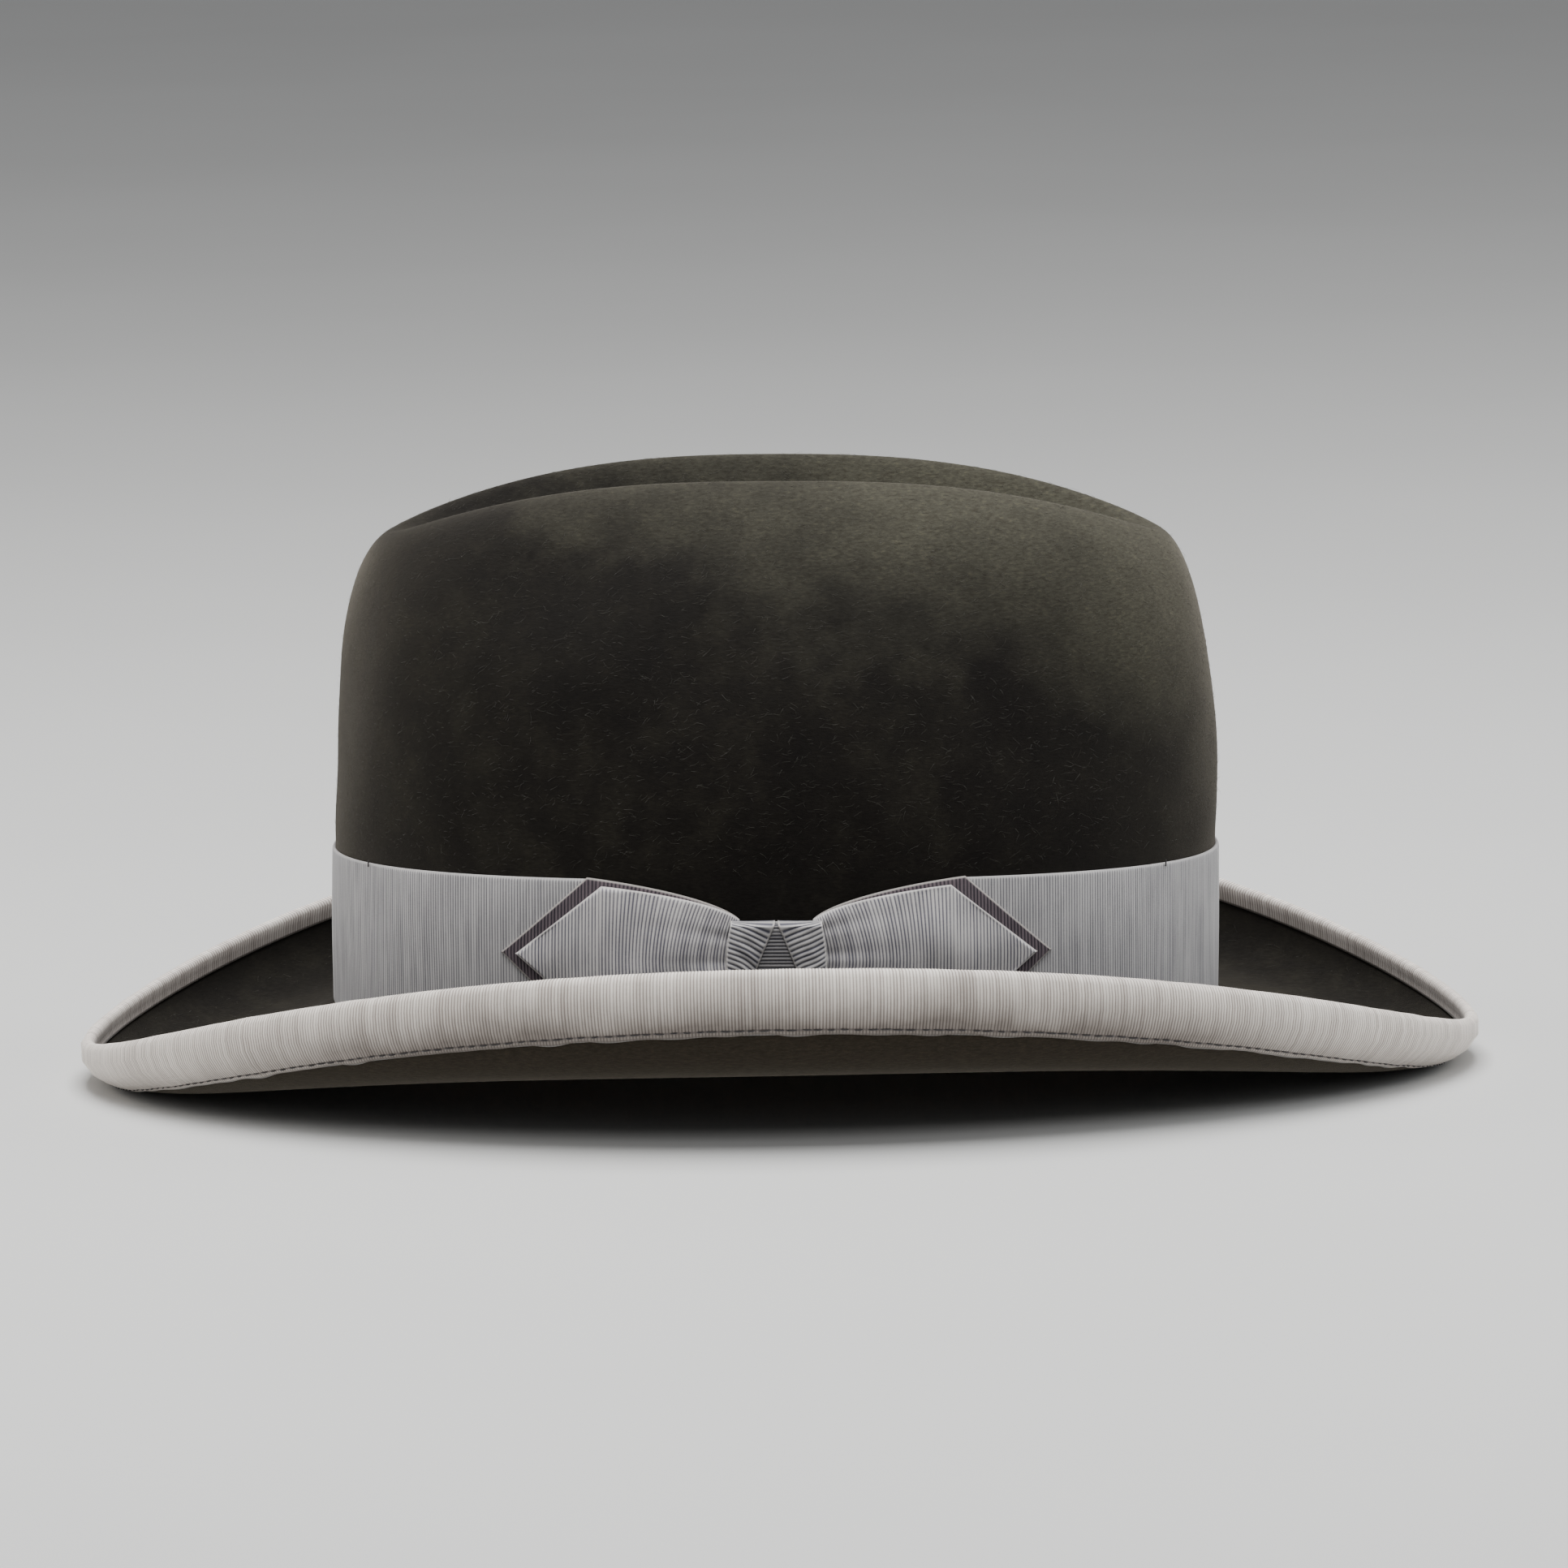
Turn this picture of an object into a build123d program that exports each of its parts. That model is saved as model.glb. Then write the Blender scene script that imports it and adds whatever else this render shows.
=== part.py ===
from build123d import *
import os
from math import cos, hypot, pi, radians, sin, sqrt

# A stiff felt town hat with a lengthwise crease in its crown and a curled, ribbon-bound brim.
# Millimetres, +Z up. The hat stands on its brim on Z = 0, front towards -Y, the wearer's left
# (the bow side) towards +X. The origin is at the bottom centre of the hat's box.
# phi is the angle round the hat: 0 at the front, 90 degrees at the wearer's left, 180 at the rear.

# ---- driving dimensions ----
FELT = 2.2                      # thickness of the felt
GAP = 0.1                       # air left between layers that lie on each other

CROWN_HALF_WIDTH = 85.0         # outside of the felt where the crown meets the brim
CROWN_HALF_LENGTH = 106.8
BREAK_HEIGHT = 17.4             # floor to the top of the brim at the crown's front and rear
BREAK_RISE = 3.1                # how much higher that line is at the sides
CROWN_LEAN = 0.8                # degrees that the crown leans back
CROWN_FORWARD = 0.7             # how far the crown sits in front of the brim's middle
RIDGE_HALF_WIDTH = 29.0         # the two ridges along the crease, seen from above
RIDGE_HALF_LENGTH = 92.0
RIDGE_HEIGHT = 130.2            # above the break, at mid length
RIDGE_DROP = 15.0               # how much lower the ridges are at their front and rear ends
RIDGE_ARC = 2.6                 # power of the ridge's fall towards its ends
CREASE_FLOOR = 106.0            # height of the crease's lowest point above the break
WALL_PLAN_POWER = (1.9, 1.35)   # roundness of the crown's shoulder, at front and rear, at the sides
WALL_RISE_POWER = (4.8, 3.2)

BRIM_HALF_WIDTH = 128.0         # over the ribbon
BRIM_HALF_LENGTH = 170.3
BRIM_TAPER = 0.12               # how much the brim narrows towards the front and rear
EDGE_HEIGHT = (44.4, 25.8, 7.2)     # top of the rolled edge: sides, then falls with cos^2 and cos^4
BRIM_BOTTOM = (16.3, 8.0, 8.3)      # underside of the brim: sides, then falls with cos^2 and cos^4
CURL_WIDTH = (15.0, 19.0)       # how far out the curl runs, at front and rear, at the sides
CURL_TURN = 102.0               # degrees the curl turns through, from flat to past upright

BAND_WIDTH = 38.0               # ribbon round the crown
BAND_LIFT = 0.5                 # its lower edge above the brim
RIBBON = 0.7                    # thickness of the band ribbon
BINDING = 0.5                   # thickness of the edge ribbon
BINDING_OUTER = (12.6, 13.8)    # how far the edge ribbon comes down outside: tips, sides
BINDING_INNER = (4.4, 3.2)      # and inside
STITCH_INSET = 1.5              # stitch line above the lower edge of the edge ribbon
THREAD = 0.35                   # diameter of the sewing thread
TACK_LENGTH = 1.6
TACK_ANGLES = (25, 150, 195, 240, 285, 330)     # round the crown, clear of the bow

BOW_POINT = 62.0                # half length of the front ribbons of the bow, at their points
BOW_CORNER = 41.5               # where their slanted ends begin
BOW_HALF_HEIGHT = 17.2          # half height of the front ribbons at their corners
BOW_PEEK = (3.4, 1.8)           # how far the ribbons behind show past them, along and up
BOW_PINCH = 9.6                 # half height of the bow and the band where the knot holds them
KNOT_HALF_WIDTH = 11.5
KNOT_DEPTH = 2.6

SWEATBAND_HEIGHT = 44.0
SWEATBAND = 1.2                 # thickness of the leather
SWEATBAND_INSET = 1.4           # room between the felt and the leather
REED_RADIUS = 0.6
REED_COVER = 0.4                # thickness of the cloth round the reed

LINING = 0.4
LINING_INSET = 0.4              # air between the felt and the lining, where the lining is low
LINING_BOTTOM = 18.0            # the lining's lower edge, tucked behind the sweatband
LINING_TURN = 58.0              # height where the lining starts to leave the felt
LINING_TIP_HEIGHT = 93.0        # height of the seam round the lining's top panel
LINING_TIP_HALF_WIDTH = 62.0
LINING_TIP_HALF_LENGTH = 84.0
LINING_TIP_RISE = 4.0           # how much the top panel domes up
PIPING_RADIUS = 0.9
TICKET = 0.2                    # thickness of the paper size ticket

RING_POINTS = 48                # points in each closed curve round the hat

CROWN_PLACE = Location((0, -CROWN_FORWARD, BREAK_HEIGHT), (-CROWN_LEAN, 0, 0))
os.makedirs("parts", exist_ok=True)


# ---- curves and hoops ----
def ring(point):
    """Closed smooth curve through point(phi), once round the hat."""
    return Edge.make_spline(
        [Vector(*point(2 * pi * i / RING_POINTS)) for i in range(RING_POINTS)], periodic=True
    )


def strips(edges):
    """One ruled face between each curve and the next."""
    return [Face.make_surface_from_curves(a, b) for a, b in zip(edges, edges[1:])]


def hoop(points):
    """A closed hoop: its section runs through each point function and back to the first."""
    edges = [ring(p) for p in points]
    return Solid(Shell(strips(edges + edges[:1])))


def cup(points):
    """A closed shell of revolution-like form whose first and last curves are flat ovals."""
    edges = [ring(p) for p in points]
    ends = [Face(Wire([edges[0]])), Face(Wire([edges[-1]]))]
    return Solid(Shell(strips(edges) + ends))


def mix(pair, phi):
    """Blend from the front and rear value to the side value."""
    return pair[0] + (pair[1] - pair[0]) * sin(phi) ** 2


def save(name, shape, in_crown=False):
    shape = CROWN_PLACE * shape if in_crown else shape
    shape.label = name
    export_step(shape, f"parts/{name}.step")


# ---- the crown, in its own frame: h is measured up from the break ----
def ridge_height(phi):
    return RIDGE_HEIGHT - RIDGE_DROP * abs(cos(phi)) ** RIDGE_ARC


def base_height(phi):
    return BREAK_RISE * sin(phi) ** 2


def wall(phi, rise, out=0.0):
    """Point on the crown's side. rise goes from 0 at the break to 1 at the ridge; out is how far
    outside the felt's outer face the point lies."""
    inward = (1 - rise ** mix(WALL_RISE_POWER, phi)) ** (1 / mix(WALL_PLAN_POWER, phi))
    half_width = RIDGE_HALF_WIDTH + (CROWN_HALF_WIDTH + out - RIDGE_HALF_WIDTH) * inward
    half_length = RIDGE_HALF_LENGTH + (CROWN_HALF_LENGTH + out - RIDGE_HALF_LENGTH) * inward
    low = base_height(phi)
    h = low + (ridge_height(phi) + out - low) * rise
    return half_width * sin(phi), -half_length * cos(phi), h


def wall_at(phi, height, out=0.0):
    """Point on the crown's side at a height above the break line."""
    return wall(phi, height / (ridge_height(phi) - base_height(phi)), out)


CREASE_END = 0.93               # the crease's floor is flat from here to its middle


def crease(phi, inward, depth=0.0):
    """Point in the crease. inward goes from 0 at the ridge to CREASE_END; depth is how far
    under the felt's outer face the point lies."""
    w = min(inward / CREASE_END, 1.0)
    sink = 2.5 * w**1.5 - 1.5 * w**2.5
    steepness = 3.75 * (w**0.5 - w**1.5) / CREASE_END
    fall = ridge_height(phi) - CREASE_FLOOR
    radius = hypot(RIDGE_HALF_WIDTH * sin(phi), RIDGE_HALF_LENGTH * cos(phi))
    h = ridge_height(phi) - fall * sink - depth * sqrt(1 + (fall * steepness / radius) ** 2)
    keep = 1 - inward
    return RIDGE_HALF_WIDTH * keep * sin(phi), -RIDGE_HALF_LENGTH * keep * cos(phi), h


def placed(point):
    """A point of the crown's frame in the hat's frame."""
    x, y, h = point
    back, level = sin(radians(CROWN_LEAN)), cos(radians(CROWN_LEAN))
    return x, y * level + h * back - CROWN_FORWARD, BREAK_HEIGHT - y * back + h * level


# ---- the brim, in the hat's frame: a middle surface and an offset from it ----
def falling(heights, phi):
    c2 = cos(phi) ** 2
    return heights[0] - heights[1] * c2 - heights[2] * c2 * c2


class Profile:
    """The brim's section at one phi: r runs out from the crown's outer face, z is up."""

    def __init__(self, phi):
        self.x0, self.y0, top = placed(wall(phi, 0.0))
        edge_x = BRIM_HALF_WIDTH * sin(phi) * (1 - BRIM_TAPER * cos(phi) ** 2)
        edge_y = -BRIM_HALF_LENGTH * cos(phi)
        reach = hypot(edge_x - self.x0, edge_y - self.y0)
        self.dx, self.dy = (edge_x - self.x0) / reach, (edge_y - self.y0) / reach
        skin = FELT / 2 + GAP + BINDING
        self.curl = mix(CURL_WIDTH, phi)
        self.flat = reach - skin - self.curl
        self.low = falling(BRIM_BOTTOM, phi) + FELT / 2
        turn = radians(CURL_TURN)
        self.lift = (falling(EDGE_HEIGHT, phi) - skin - self.low) / (1 - cos(turn))
        self.start = top - FELT / 2

    def flat_point(self, t):
        """r, z and their slopes between the crown (t = 0) and the bottom of the curl (t = 1)."""
        fall = self.low - self.start
        z = self.start + fall * (1.5 * t - 0.5 * t**3)
        return self.flat * t, z, self.flat, fall * (1.5 - 1.5 * t**2)

    def curl_point(self, angle):
        r = self.flat + self.curl * sin(angle)
        z = self.low + self.lift * (1 - cos(angle))
        return r, z, self.curl * cos(angle), self.lift * sin(angle)

    def angle_at(self, length):
        """Angle on the curl at an arc length back from the edge."""
        angle, step = radians(CURL_TURN), radians(0.25)
        while length > 0 and angle > step:
            _, _, dr, dz = self.curl_point(angle - step / 2)
            length -= hypot(dr, dz) * step
            angle -= step
        return angle

    def place(self, section, offset):
        """The point of space at a section point, moved by offset to the brim's upper face."""
        r, z, dr, dz = section
        size = hypot(dr, dz)
        r, z = r - offset * dz / size, z + offset * dr / size
        return self.x0 + self.dx * r, self.y0 + self.dy * r, z

    def cap(self, radius, angle):
        """A point on the round end of the brim: angle 0 outside, 90 on top, 180 inside."""
        r, z, dr, dz = self.curl_point(radians(CURL_TURN))
        size = hypot(dr, dz)
        along, across = radius * sin(angle) / size, -radius * cos(angle) / size
        r, z = r + along * dr - across * dz, z + along * dz + across * dr
        return self.x0 + self.dx * r, self.y0 + self.dy * r, z


def brim_flat(t, offset):
    return lambda phi: (lambda p: p.place(p.flat_point(t), offset))(Profile(phi))


def brim_curl(share, offset):
    angle = share * radians(CURL_TURN)
    return lambda phi: (lambda p: p.place(p.curl_point(angle), offset))(Profile(phi))


def brim_band(lengths, offset, share=1.0):
    """A line round the curl, a share of an arc length (tips, sides) back from the edge."""
    return lambda phi: on_curl(Profile(phi), share * mix(lengths, phi), offset)


def on_curl(profile, length, offset):
    return profile.place(profile.curl_point(profile.angle_at(length)), offset)


def brim_cap(radius, degrees):
    return lambda phi: Profile(phi).cap(radius, radians(degrees))


# ---- felt body: crown and brim blocked from one piece ----
CREASE_STEPS = (0.93, 0.8, 0.66, 0.52, 0.4, 0.28, 0.18, 0.1, 0.04)
WALL_STEPS = (
    1.0, 0.992, 0.975, 0.95, 0.91, 0.86, 0.8, 0.72, 0.62, 0.52, 0.42, 0.33, 0.25, 0.17, 0.09, 0.0
)
BRIM_STEPS = (0.15, 0.3, 0.45, 0.6, 0.75, 0.9)
CURL_STEPS = [i / 16 for i in range(17)]
CAP_STEPS = (45, 90, 135)


def crown_rows(out):
    """Closed curves of the crown from the crease's floor down to the break."""
    rows = [lambda phi, w=w: placed(crease(phi, w, -out)) for w in CREASE_STEPS]
    return rows + [lambda phi, k=k: placed(wall(phi, k, out)) for k in WALL_STEPS]


def brim_rows(offset):
    """Closed curves of one face of the brim from beside the crown to the edge."""
    rows = [brim_flat(t, offset) for t in BRIM_STEPS]
    return rows + [brim_curl(s, offset) for s in CURL_STEPS]


def felt_body():
    def under_break(phi):
        x, y, h = wall_at(phi, 0.0, -FELT)
        return placed((x, y, h - FELT))

    outside = crown_rows(0.0) + brim_rows(FELT / 2)
    edge = [brim_cap(FELT / 2, 180 - a) for a in CAP_STEPS]
    inside = list(reversed(brim_rows(-FELT / 2))) + [under_break]
    inside += list(reversed(crown_rows(-FELT)))
    return cup(outside + edge + inside)


# ---- ribbon and thread at the brim's edge ----
def brim_binding():
    near, far = FELT / 2 + GAP, FELT / 2 + GAP + BINDING
    down = [1 - i / 12 for i in range(13)]
    up = [i / 3 for i in range(4)]
    caps = (30, 60, 90, 120, 150)
    outer = [brim_band(BINDING_OUTER, -far, s) for s in down]
    outer += [brim_cap(far, a) for a in caps] + [brim_band(BINDING_INNER, far, s) for s in up]
    inner = [brim_band(BINDING_INNER, near, s) for s in reversed(up)]
    inner += [brim_cap(near, a) for a in reversed(caps)]
    inner += [brim_band(BINDING_OUTER, -near, s) for s in reversed(down)]
    return hoop(outer + inner)


def thread_loop(centre, radius, sides=8):
    """A closed round cord. centre(phi, u, v) is its middle moved u out and v up."""
    turns = [2 * pi * i / sides for i in range(sides)]
    return hoop([lambda phi, a=a: centre(phi, radius * cos(a), radius * sin(a)) for a in turns])


def binding_thread():
    lift = FELT / 2 + 2 * GAP + BINDING + THREAD / 2

    def centre(phi, out, along):
        length = mix(BINDING_OUTER, phi) - STITCH_INSET - along
        return on_curl(Profile(phi), length, -(lift + out))

    return thread_loop(centre, THREAD / 2)


# ---- ribbon round the crown ----
def wall_layer(low, high, inner, outer, rows=6):
    """A hoop that lies on the crown's side between two heights and two distances from the felt."""
    heights = [low + (high - low) * i / (rows - 1) for i in range(rows)]
    outside = [lambda phi, h=h: wall_at(phi, h, outer) for h in heights]
    inside = [lambda phi, h=h: wall_at(phi, h, inner) for h in reversed(heights)]
    return hoop(outside + inside)


BAND_TOP = BAND_LIFT + BAND_WIDTH


def band_tacks():
    """Short stitches that hold the band's top edge, at six places round the crown."""
    tacks = []
    for degrees in TACK_ANGLES:
        phi = radians(degrees)
        x, y, h = wall_at(phi, BAND_TOP - 0.3, RIBBON + GAP + THREAD)
        tacks.append(Pos(x, y, h) * Cylinder(THREAD / 2, TACK_LENGTH))
    return Compound(children=tacks)


# ---- bow, drawn flat in the YZ plane and laid on the crown's left side ----
MID = BREAK_RISE + BAND_LIFT + BAND_WIDTH / 2      # height of the bow's middle line
BOW_FRONT_LAYER = (RIBBON + 3 * GAP + RIBBON, RIBBON + 3 * GAP + 2 * RIBBON)
BOW_BACK_LAYER = (RIBBON + 2 * GAP, 2 * RIBBON + 2 * GAP)


BOW_INNER = KNOT_HALF_WIDTH - 3.0                  # where the ribbons start, under the knot


def pinched_edge(corner, half):
    """Three points of a ribbon's upper edge, which swells from the knot to a corner."""
    middle = BOW_PINCH + (half - BOW_PINCH) * 0.66
    return [(BOW_INNER, BOW_PINCH), ((BOW_INNER + corner) / 2, middle), (corner, half)]


def wing_outline(corner, half, point, side):
    """Half a bow: pinched at the knot, widest at the corner, then a mitred point."""
    top = pinched_edge(corner, half)
    points = top + [(point, 0.0)] + [(y, -h) for y, h in reversed(top)]
    at = [Vector(0, side * y, MID + h) for y, h in points]
    edges = [
        Edge.make_three_point_arc(at[0], at[1], at[2]),
        Edge.make_line(at[2], at[3]),
        Edge.make_line(at[3], at[4]),
        Edge.make_three_point_arc(at[4], at[5], at[6]),
        Edge.make_line(at[6], at[0]),
    ]
    return Face(Wire(edges))


def wing(layer, peek, side):
    """A wing of the bow, side -1 to the front and 1 to the rear."""
    sheet = wall_layer(0.0, BAND_TOP + 6.0, layer[0], layer[1])
    corner, half = BOW_CORNER + peek[0], BOW_HALF_HEIGHT + peek[1]
    outline = wing_outline(corner, half, BOW_POINT + peek[0], side)
    return sheet & Solid.extrude(outline, Vector(CROWN_HALF_WIDTH + 20, 0, 0))


def hat_band():
    """The ribbon round the crown, drawn in behind the bow to the knot's height."""
    band = wall_layer(BAND_LIFT, BAND_TOP, GAP, GAP + RIBBON)
    edge = pinched_edge(BOW_CORNER + BOW_PEEK[0] - 1.2, BOW_HALF_HEIGHT + BOW_PEEK[1] - 0.6)
    clear = BAND_WIDTH / 2 + 4.0
    for up in (-1, 1):
        right = [Vector(0, y, MID + up * (h - 0.3)) for y, h in edge]
        left = [Vector(0, -y, MID + up * (h - 0.3)) for y, h in edge]
        far = [Vector(0, y * edge[-1][0], MID + up * clear) for y in (1, -1)]
        outline = Wire([
            Edge.make_three_point_arc(*right), Edge.make_line(right[-1], far[0]),
            Edge.make_line(far[0], far[1]), Edge.make_line(far[1], left[-1]),
            Edge.make_three_point_arc(*reversed(left)), Edge.make_line(left[0], right[0]),
        ])
        band -= Solid.extrude(Face(outline), Vector(CROWN_HALF_WIDTH + 20, 0, 0))
    return band


def knot_block(points, back, front, round_by):
    """A folded piece of the knot: an outline in Y and height above the bow's middle line."""
    face = Face(Wire.make_polygon([Vector(back, y, MID + h) for y, h in points], close=True))
    block = Solid.extrude(face, Vector(front - back, 0, 0))
    rims = block.faces().sort_by(Axis.X)[-1].edges()
    return fillet(rims, round_by)


KNOT_BACK = CROWN_HALF_WIDTH + BOW_FRONT_LAYER[1] + GAP
KNOT_FRONT = KNOT_BACK + KNOT_DEPTH


def bow_knot():
    half = BOW_PINCH - 0.2
    outline = [(-10.5, half), (10.5, half), (10.9, -half), (-10.9, -half)]
    return knot_block(outline, KNOT_BACK, KNOT_FRONT, 1.6)


def knot_pleat(side):
    """The folded half of the knot on one side of its middle panel."""
    top, bottom = (1.2, KNOT_HALF_WIDTH), (5.4, KNOT_HALF_WIDTH)
    half = BOW_PINCH + 0.2
    outline = [(top[0], half), (top[1], half), (bottom[1], -half), (bottom[0], -half)]
    outline = [(side * y, h) for y, h in outline]
    return knot_block(outline, KNOT_FRONT + GAP, KNOT_FRONT + GAP + 1.3, 0.5)


# ---- inside: leather sweatband with its reed, and a satin lining ----
LEATHER_OUT = -(FELT + SWEATBAND_INSET)
LEATHER_IN = LEATHER_OUT - SWEATBAND


def sweatband():
    return wall_layer(0.6, SWEATBAND_HEIGHT, LEATHER_IN, LEATHER_OUT)


COVER_RADIUS = REED_RADIUS + GAP + REED_COVER


def reed_centre(phi, out, up):
    middle = -(FELT + SWEATBAND_INSET + SWEATBAND / 2)
    x, y, h = wall_at(phi, 0.0, middle + out)
    return x, y, h + 0.6 - GAP - COVER_RADIUS + up


def sweatband_reed():
    return thread_loop(reed_centre, REED_RADIUS)


def reed_cover():
    outer = [2 * pi * i / 10 for i in range(10)]
    return thread_loop(reed_centre, COVER_RADIUS) - thread_loop(reed_centre, REED_RADIUS + GAP)


def sweatband_thread():
    def centre(phi, out, up):
        x, y, h = wall_at(phi, 3.2, LEATHER_IN - GAP - THREAD / 2 + out)
        return x, y, h + up

    return thread_loop(centre, THREAD / 2)


def rear_bow(loops):
    """The small ribbon bow at the rear seam of the sweatband."""
    y = CROWN_HALF_LENGTH + LEATHER_IN - GAP
    if not loops:
        return Pos(0, y - 1.4, 9.0) * fillet(Box(3.4, 2.6, 4.4).edges(), 0.8)
    pieces = []
    for side in (-1, 1):
        points = [(1.8, 1.4), (10.5, 3.6), (12.0, 0.0), (10.5, -3.6), (1.8, -1.4)]
        face = Face(Wire.make_polygon([Vector(side * x, y - 0.4, 9.0 + h) for x, h in points]))
        pieces.append(Solid.extrude(face, Vector(0, -1.2, 0)))
    return Compound(children=pieces)


def lining_wall(phi, height, depth=0.0):
    """Point on the lining's side, which leaves the felt above LINING_TURN for the top seam."""
    free = max(0.0, height - LINING_TURN) / (LINING_TIP_HEIGHT - LINING_TURN)
    pull = free**1.4
    x, y, h = wall_at(phi, height, -(FELT + LINING_INSET + depth))
    seam_x = (LINING_TIP_HALF_WIDTH - depth) * sin(phi)
    seam_y = -(LINING_TIP_HALF_LENGTH - depth) * cos(phi)
    return x + (seam_x - x) * pull, y + (seam_y - y) * pull, h + (height - h) * pull


def lining_side():
    heights = (LINING_BOTTOM, 30, 44, LINING_TURN, 66, 74, 81, 87, LINING_TIP_HEIGHT)
    outside = [lambda phi, h=h: lining_wall(phi, h) for h in heights]
    inside = [lambda phi, h=h: lining_wall(phi, h, LINING) for h in reversed(heights)]
    return hoop(outside + inside)


def tip_point(phi, share, drop=0.0):
    """Point on the lining's top panel, share 1 at the seam and 0 at the middle."""
    reach = share * (1 - 2.2 / LINING_TIP_HALF_LENGTH)
    h = LINING_TIP_HEIGHT + LINING_TIP_RISE * (1 - share**2) - drop
    return LINING_TIP_HALF_WIDTH * reach * sin(phi), -LINING_TIP_HALF_LENGTH * reach * cos(phi), h


def lining_tip():
    shares = (0.06, 0.3, 0.55, 0.8, 1.0)
    top = [lambda phi, s=s: tip_point(phi, s) for s in shares]
    under = [lambda phi, s=s: tip_point(phi, s, LINING) for s in reversed(shares)]
    return cup(top + under)


def lining_piping():
    def centre(phi, out, up):
        x, y = LINING_TIP_HALF_WIDTH * sin(phi), -LINING_TIP_HALF_LENGTH * cos(phi)
        scale = 1 + (out - 1.2) / LINING_TIP_HALF_LENGTH
        return x * scale, y * scale, LINING_TIP_HEIGHT - PIPING_RADIUS - LINING - GAP + up

    return thread_loop(centre, PIPING_RADIUS)


def size_ticket():
    """A small blank paper ticket that stands up from behind the sweatband at the rear."""
    outer = -(FELT + LINING_INSET + LINING + GAP)
    sheet = wall_layer(30.0, 56.0, outer - TICKET, outer)
    block = Pos(22.0, CROWN_HALF_LENGTH, 43.0) * Box(22.0, 60.0, 24.0)
    return sheet & block


save("felt_body", felt_body())
save("brim_binding", brim_binding())
save("binding_thread", binding_thread())
save("hat_band", hat_band(), in_crown=True)
save("hat_band_tacks", band_tacks(), in_crown=True)
for end, side in (("front", -1), ("rear", 1)):
    save(f"bow_under_wing_{end}", wing(BOW_BACK_LAYER, BOW_PEEK, side), in_crown=True)
    save(f"bow_wing_{end}", wing(BOW_FRONT_LAYER, (0.0, 0.0), side), in_crown=True)
    save(f"bow_knot_pleat_{end}", knot_pleat(side), in_crown=True)
save("bow_knot", bow_knot(), in_crown=True)
save("sweatband", sweatband(), in_crown=True)
save("sweatband_reed", sweatband_reed(), in_crown=True)
save("reed_cover", reed_cover(), in_crown=True)
save("sweatband_thread", sweatband_thread(), in_crown=True)
save("sweatband_bow_knot", rear_bow(loops=False), in_crown=True)
save("sweatband_bow_loops", rear_bow(loops=True), in_crown=True)
save("lining_side", lining_side(), in_crown=True)
save("lining_tip", lining_tip(), in_crown=True)
save("lining_piping", lining_piping(), in_crown=True)
save("size_ticket", size_ticket(), in_crown=True)
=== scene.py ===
import bpy
import numpy as np
from math import cos, pi, radians, sin
from mathutils import Matrix, Vector


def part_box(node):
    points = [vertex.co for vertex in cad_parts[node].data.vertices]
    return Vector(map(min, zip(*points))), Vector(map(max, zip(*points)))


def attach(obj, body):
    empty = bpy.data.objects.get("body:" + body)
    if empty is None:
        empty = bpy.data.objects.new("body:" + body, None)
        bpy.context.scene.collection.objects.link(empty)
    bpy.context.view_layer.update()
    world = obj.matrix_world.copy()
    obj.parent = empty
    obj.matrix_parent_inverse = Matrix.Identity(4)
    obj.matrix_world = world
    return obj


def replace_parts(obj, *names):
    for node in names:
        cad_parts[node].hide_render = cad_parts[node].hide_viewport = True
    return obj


# A dark felt homburg with grosgrain ribbons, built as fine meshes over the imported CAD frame.
# Shapes are worked out in millimetres in the row frame and written to meshes in metres.
# phi is the angle round the hat: 0 at the front (-Y), a quarter turn at the wearer's left (+X).

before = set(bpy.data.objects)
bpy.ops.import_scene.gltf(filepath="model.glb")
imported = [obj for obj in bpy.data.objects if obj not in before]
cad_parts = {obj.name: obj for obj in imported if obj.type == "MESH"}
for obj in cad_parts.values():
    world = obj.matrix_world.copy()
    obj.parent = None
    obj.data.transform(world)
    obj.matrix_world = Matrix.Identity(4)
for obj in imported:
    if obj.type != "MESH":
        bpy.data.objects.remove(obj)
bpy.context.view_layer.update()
MM = 0.001
ROOT = "root"
rng = np.random.default_rng(58)

# ---- shape of the hat, in millimetres, as the CAD has it ----
FELT = 2.2
GAP = 0.1
BREAK_HEIGHT, BREAK_RISE = 17.4, 3.1
CROWN_LEAN, CROWN_FORWARD = radians(0.8), 0.7
CROWN_WIDTH, CROWN_LENGTH = 85.0, 106.8         # half sizes of the crown at the break
RIDGE_WIDTH, RIDGE_LENGTH = 29.0, 92.0          # half sizes of the ridge, seen from above
RIDGE_HEIGHT, RIDGE_DROP, RIDGE_ARC = 130.2, 15.0, 2.6
CREASE_FLOOR, CREASE_END = 106.0, 0.93
WALL_PLAN_POWER, WALL_RISE_POWER = (1.9, 1.35), (4.8, 3.2)

BRIM_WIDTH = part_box("brim_binding")[1][0] / MM
BRIM_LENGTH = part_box("brim_binding")[1][1] / MM
BRIM_TAPER = 0.12
EDGE_HEIGHT, BRIM_BOTTOM = (44.4, 25.8, 7.2), (16.3, 8.0, 8.3)
CURL_WIDTH, CURL_TURN = (15.0, 19.0), radians(102.0)
BINDING, BINDING_OUTER, BINDING_INNER = 0.5, (12.6, 13.8), (4.4, 3.2)
EDGE_STITCH_INSET = 1.45                        # from the edge ribbon's lower edge to its stitches

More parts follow.
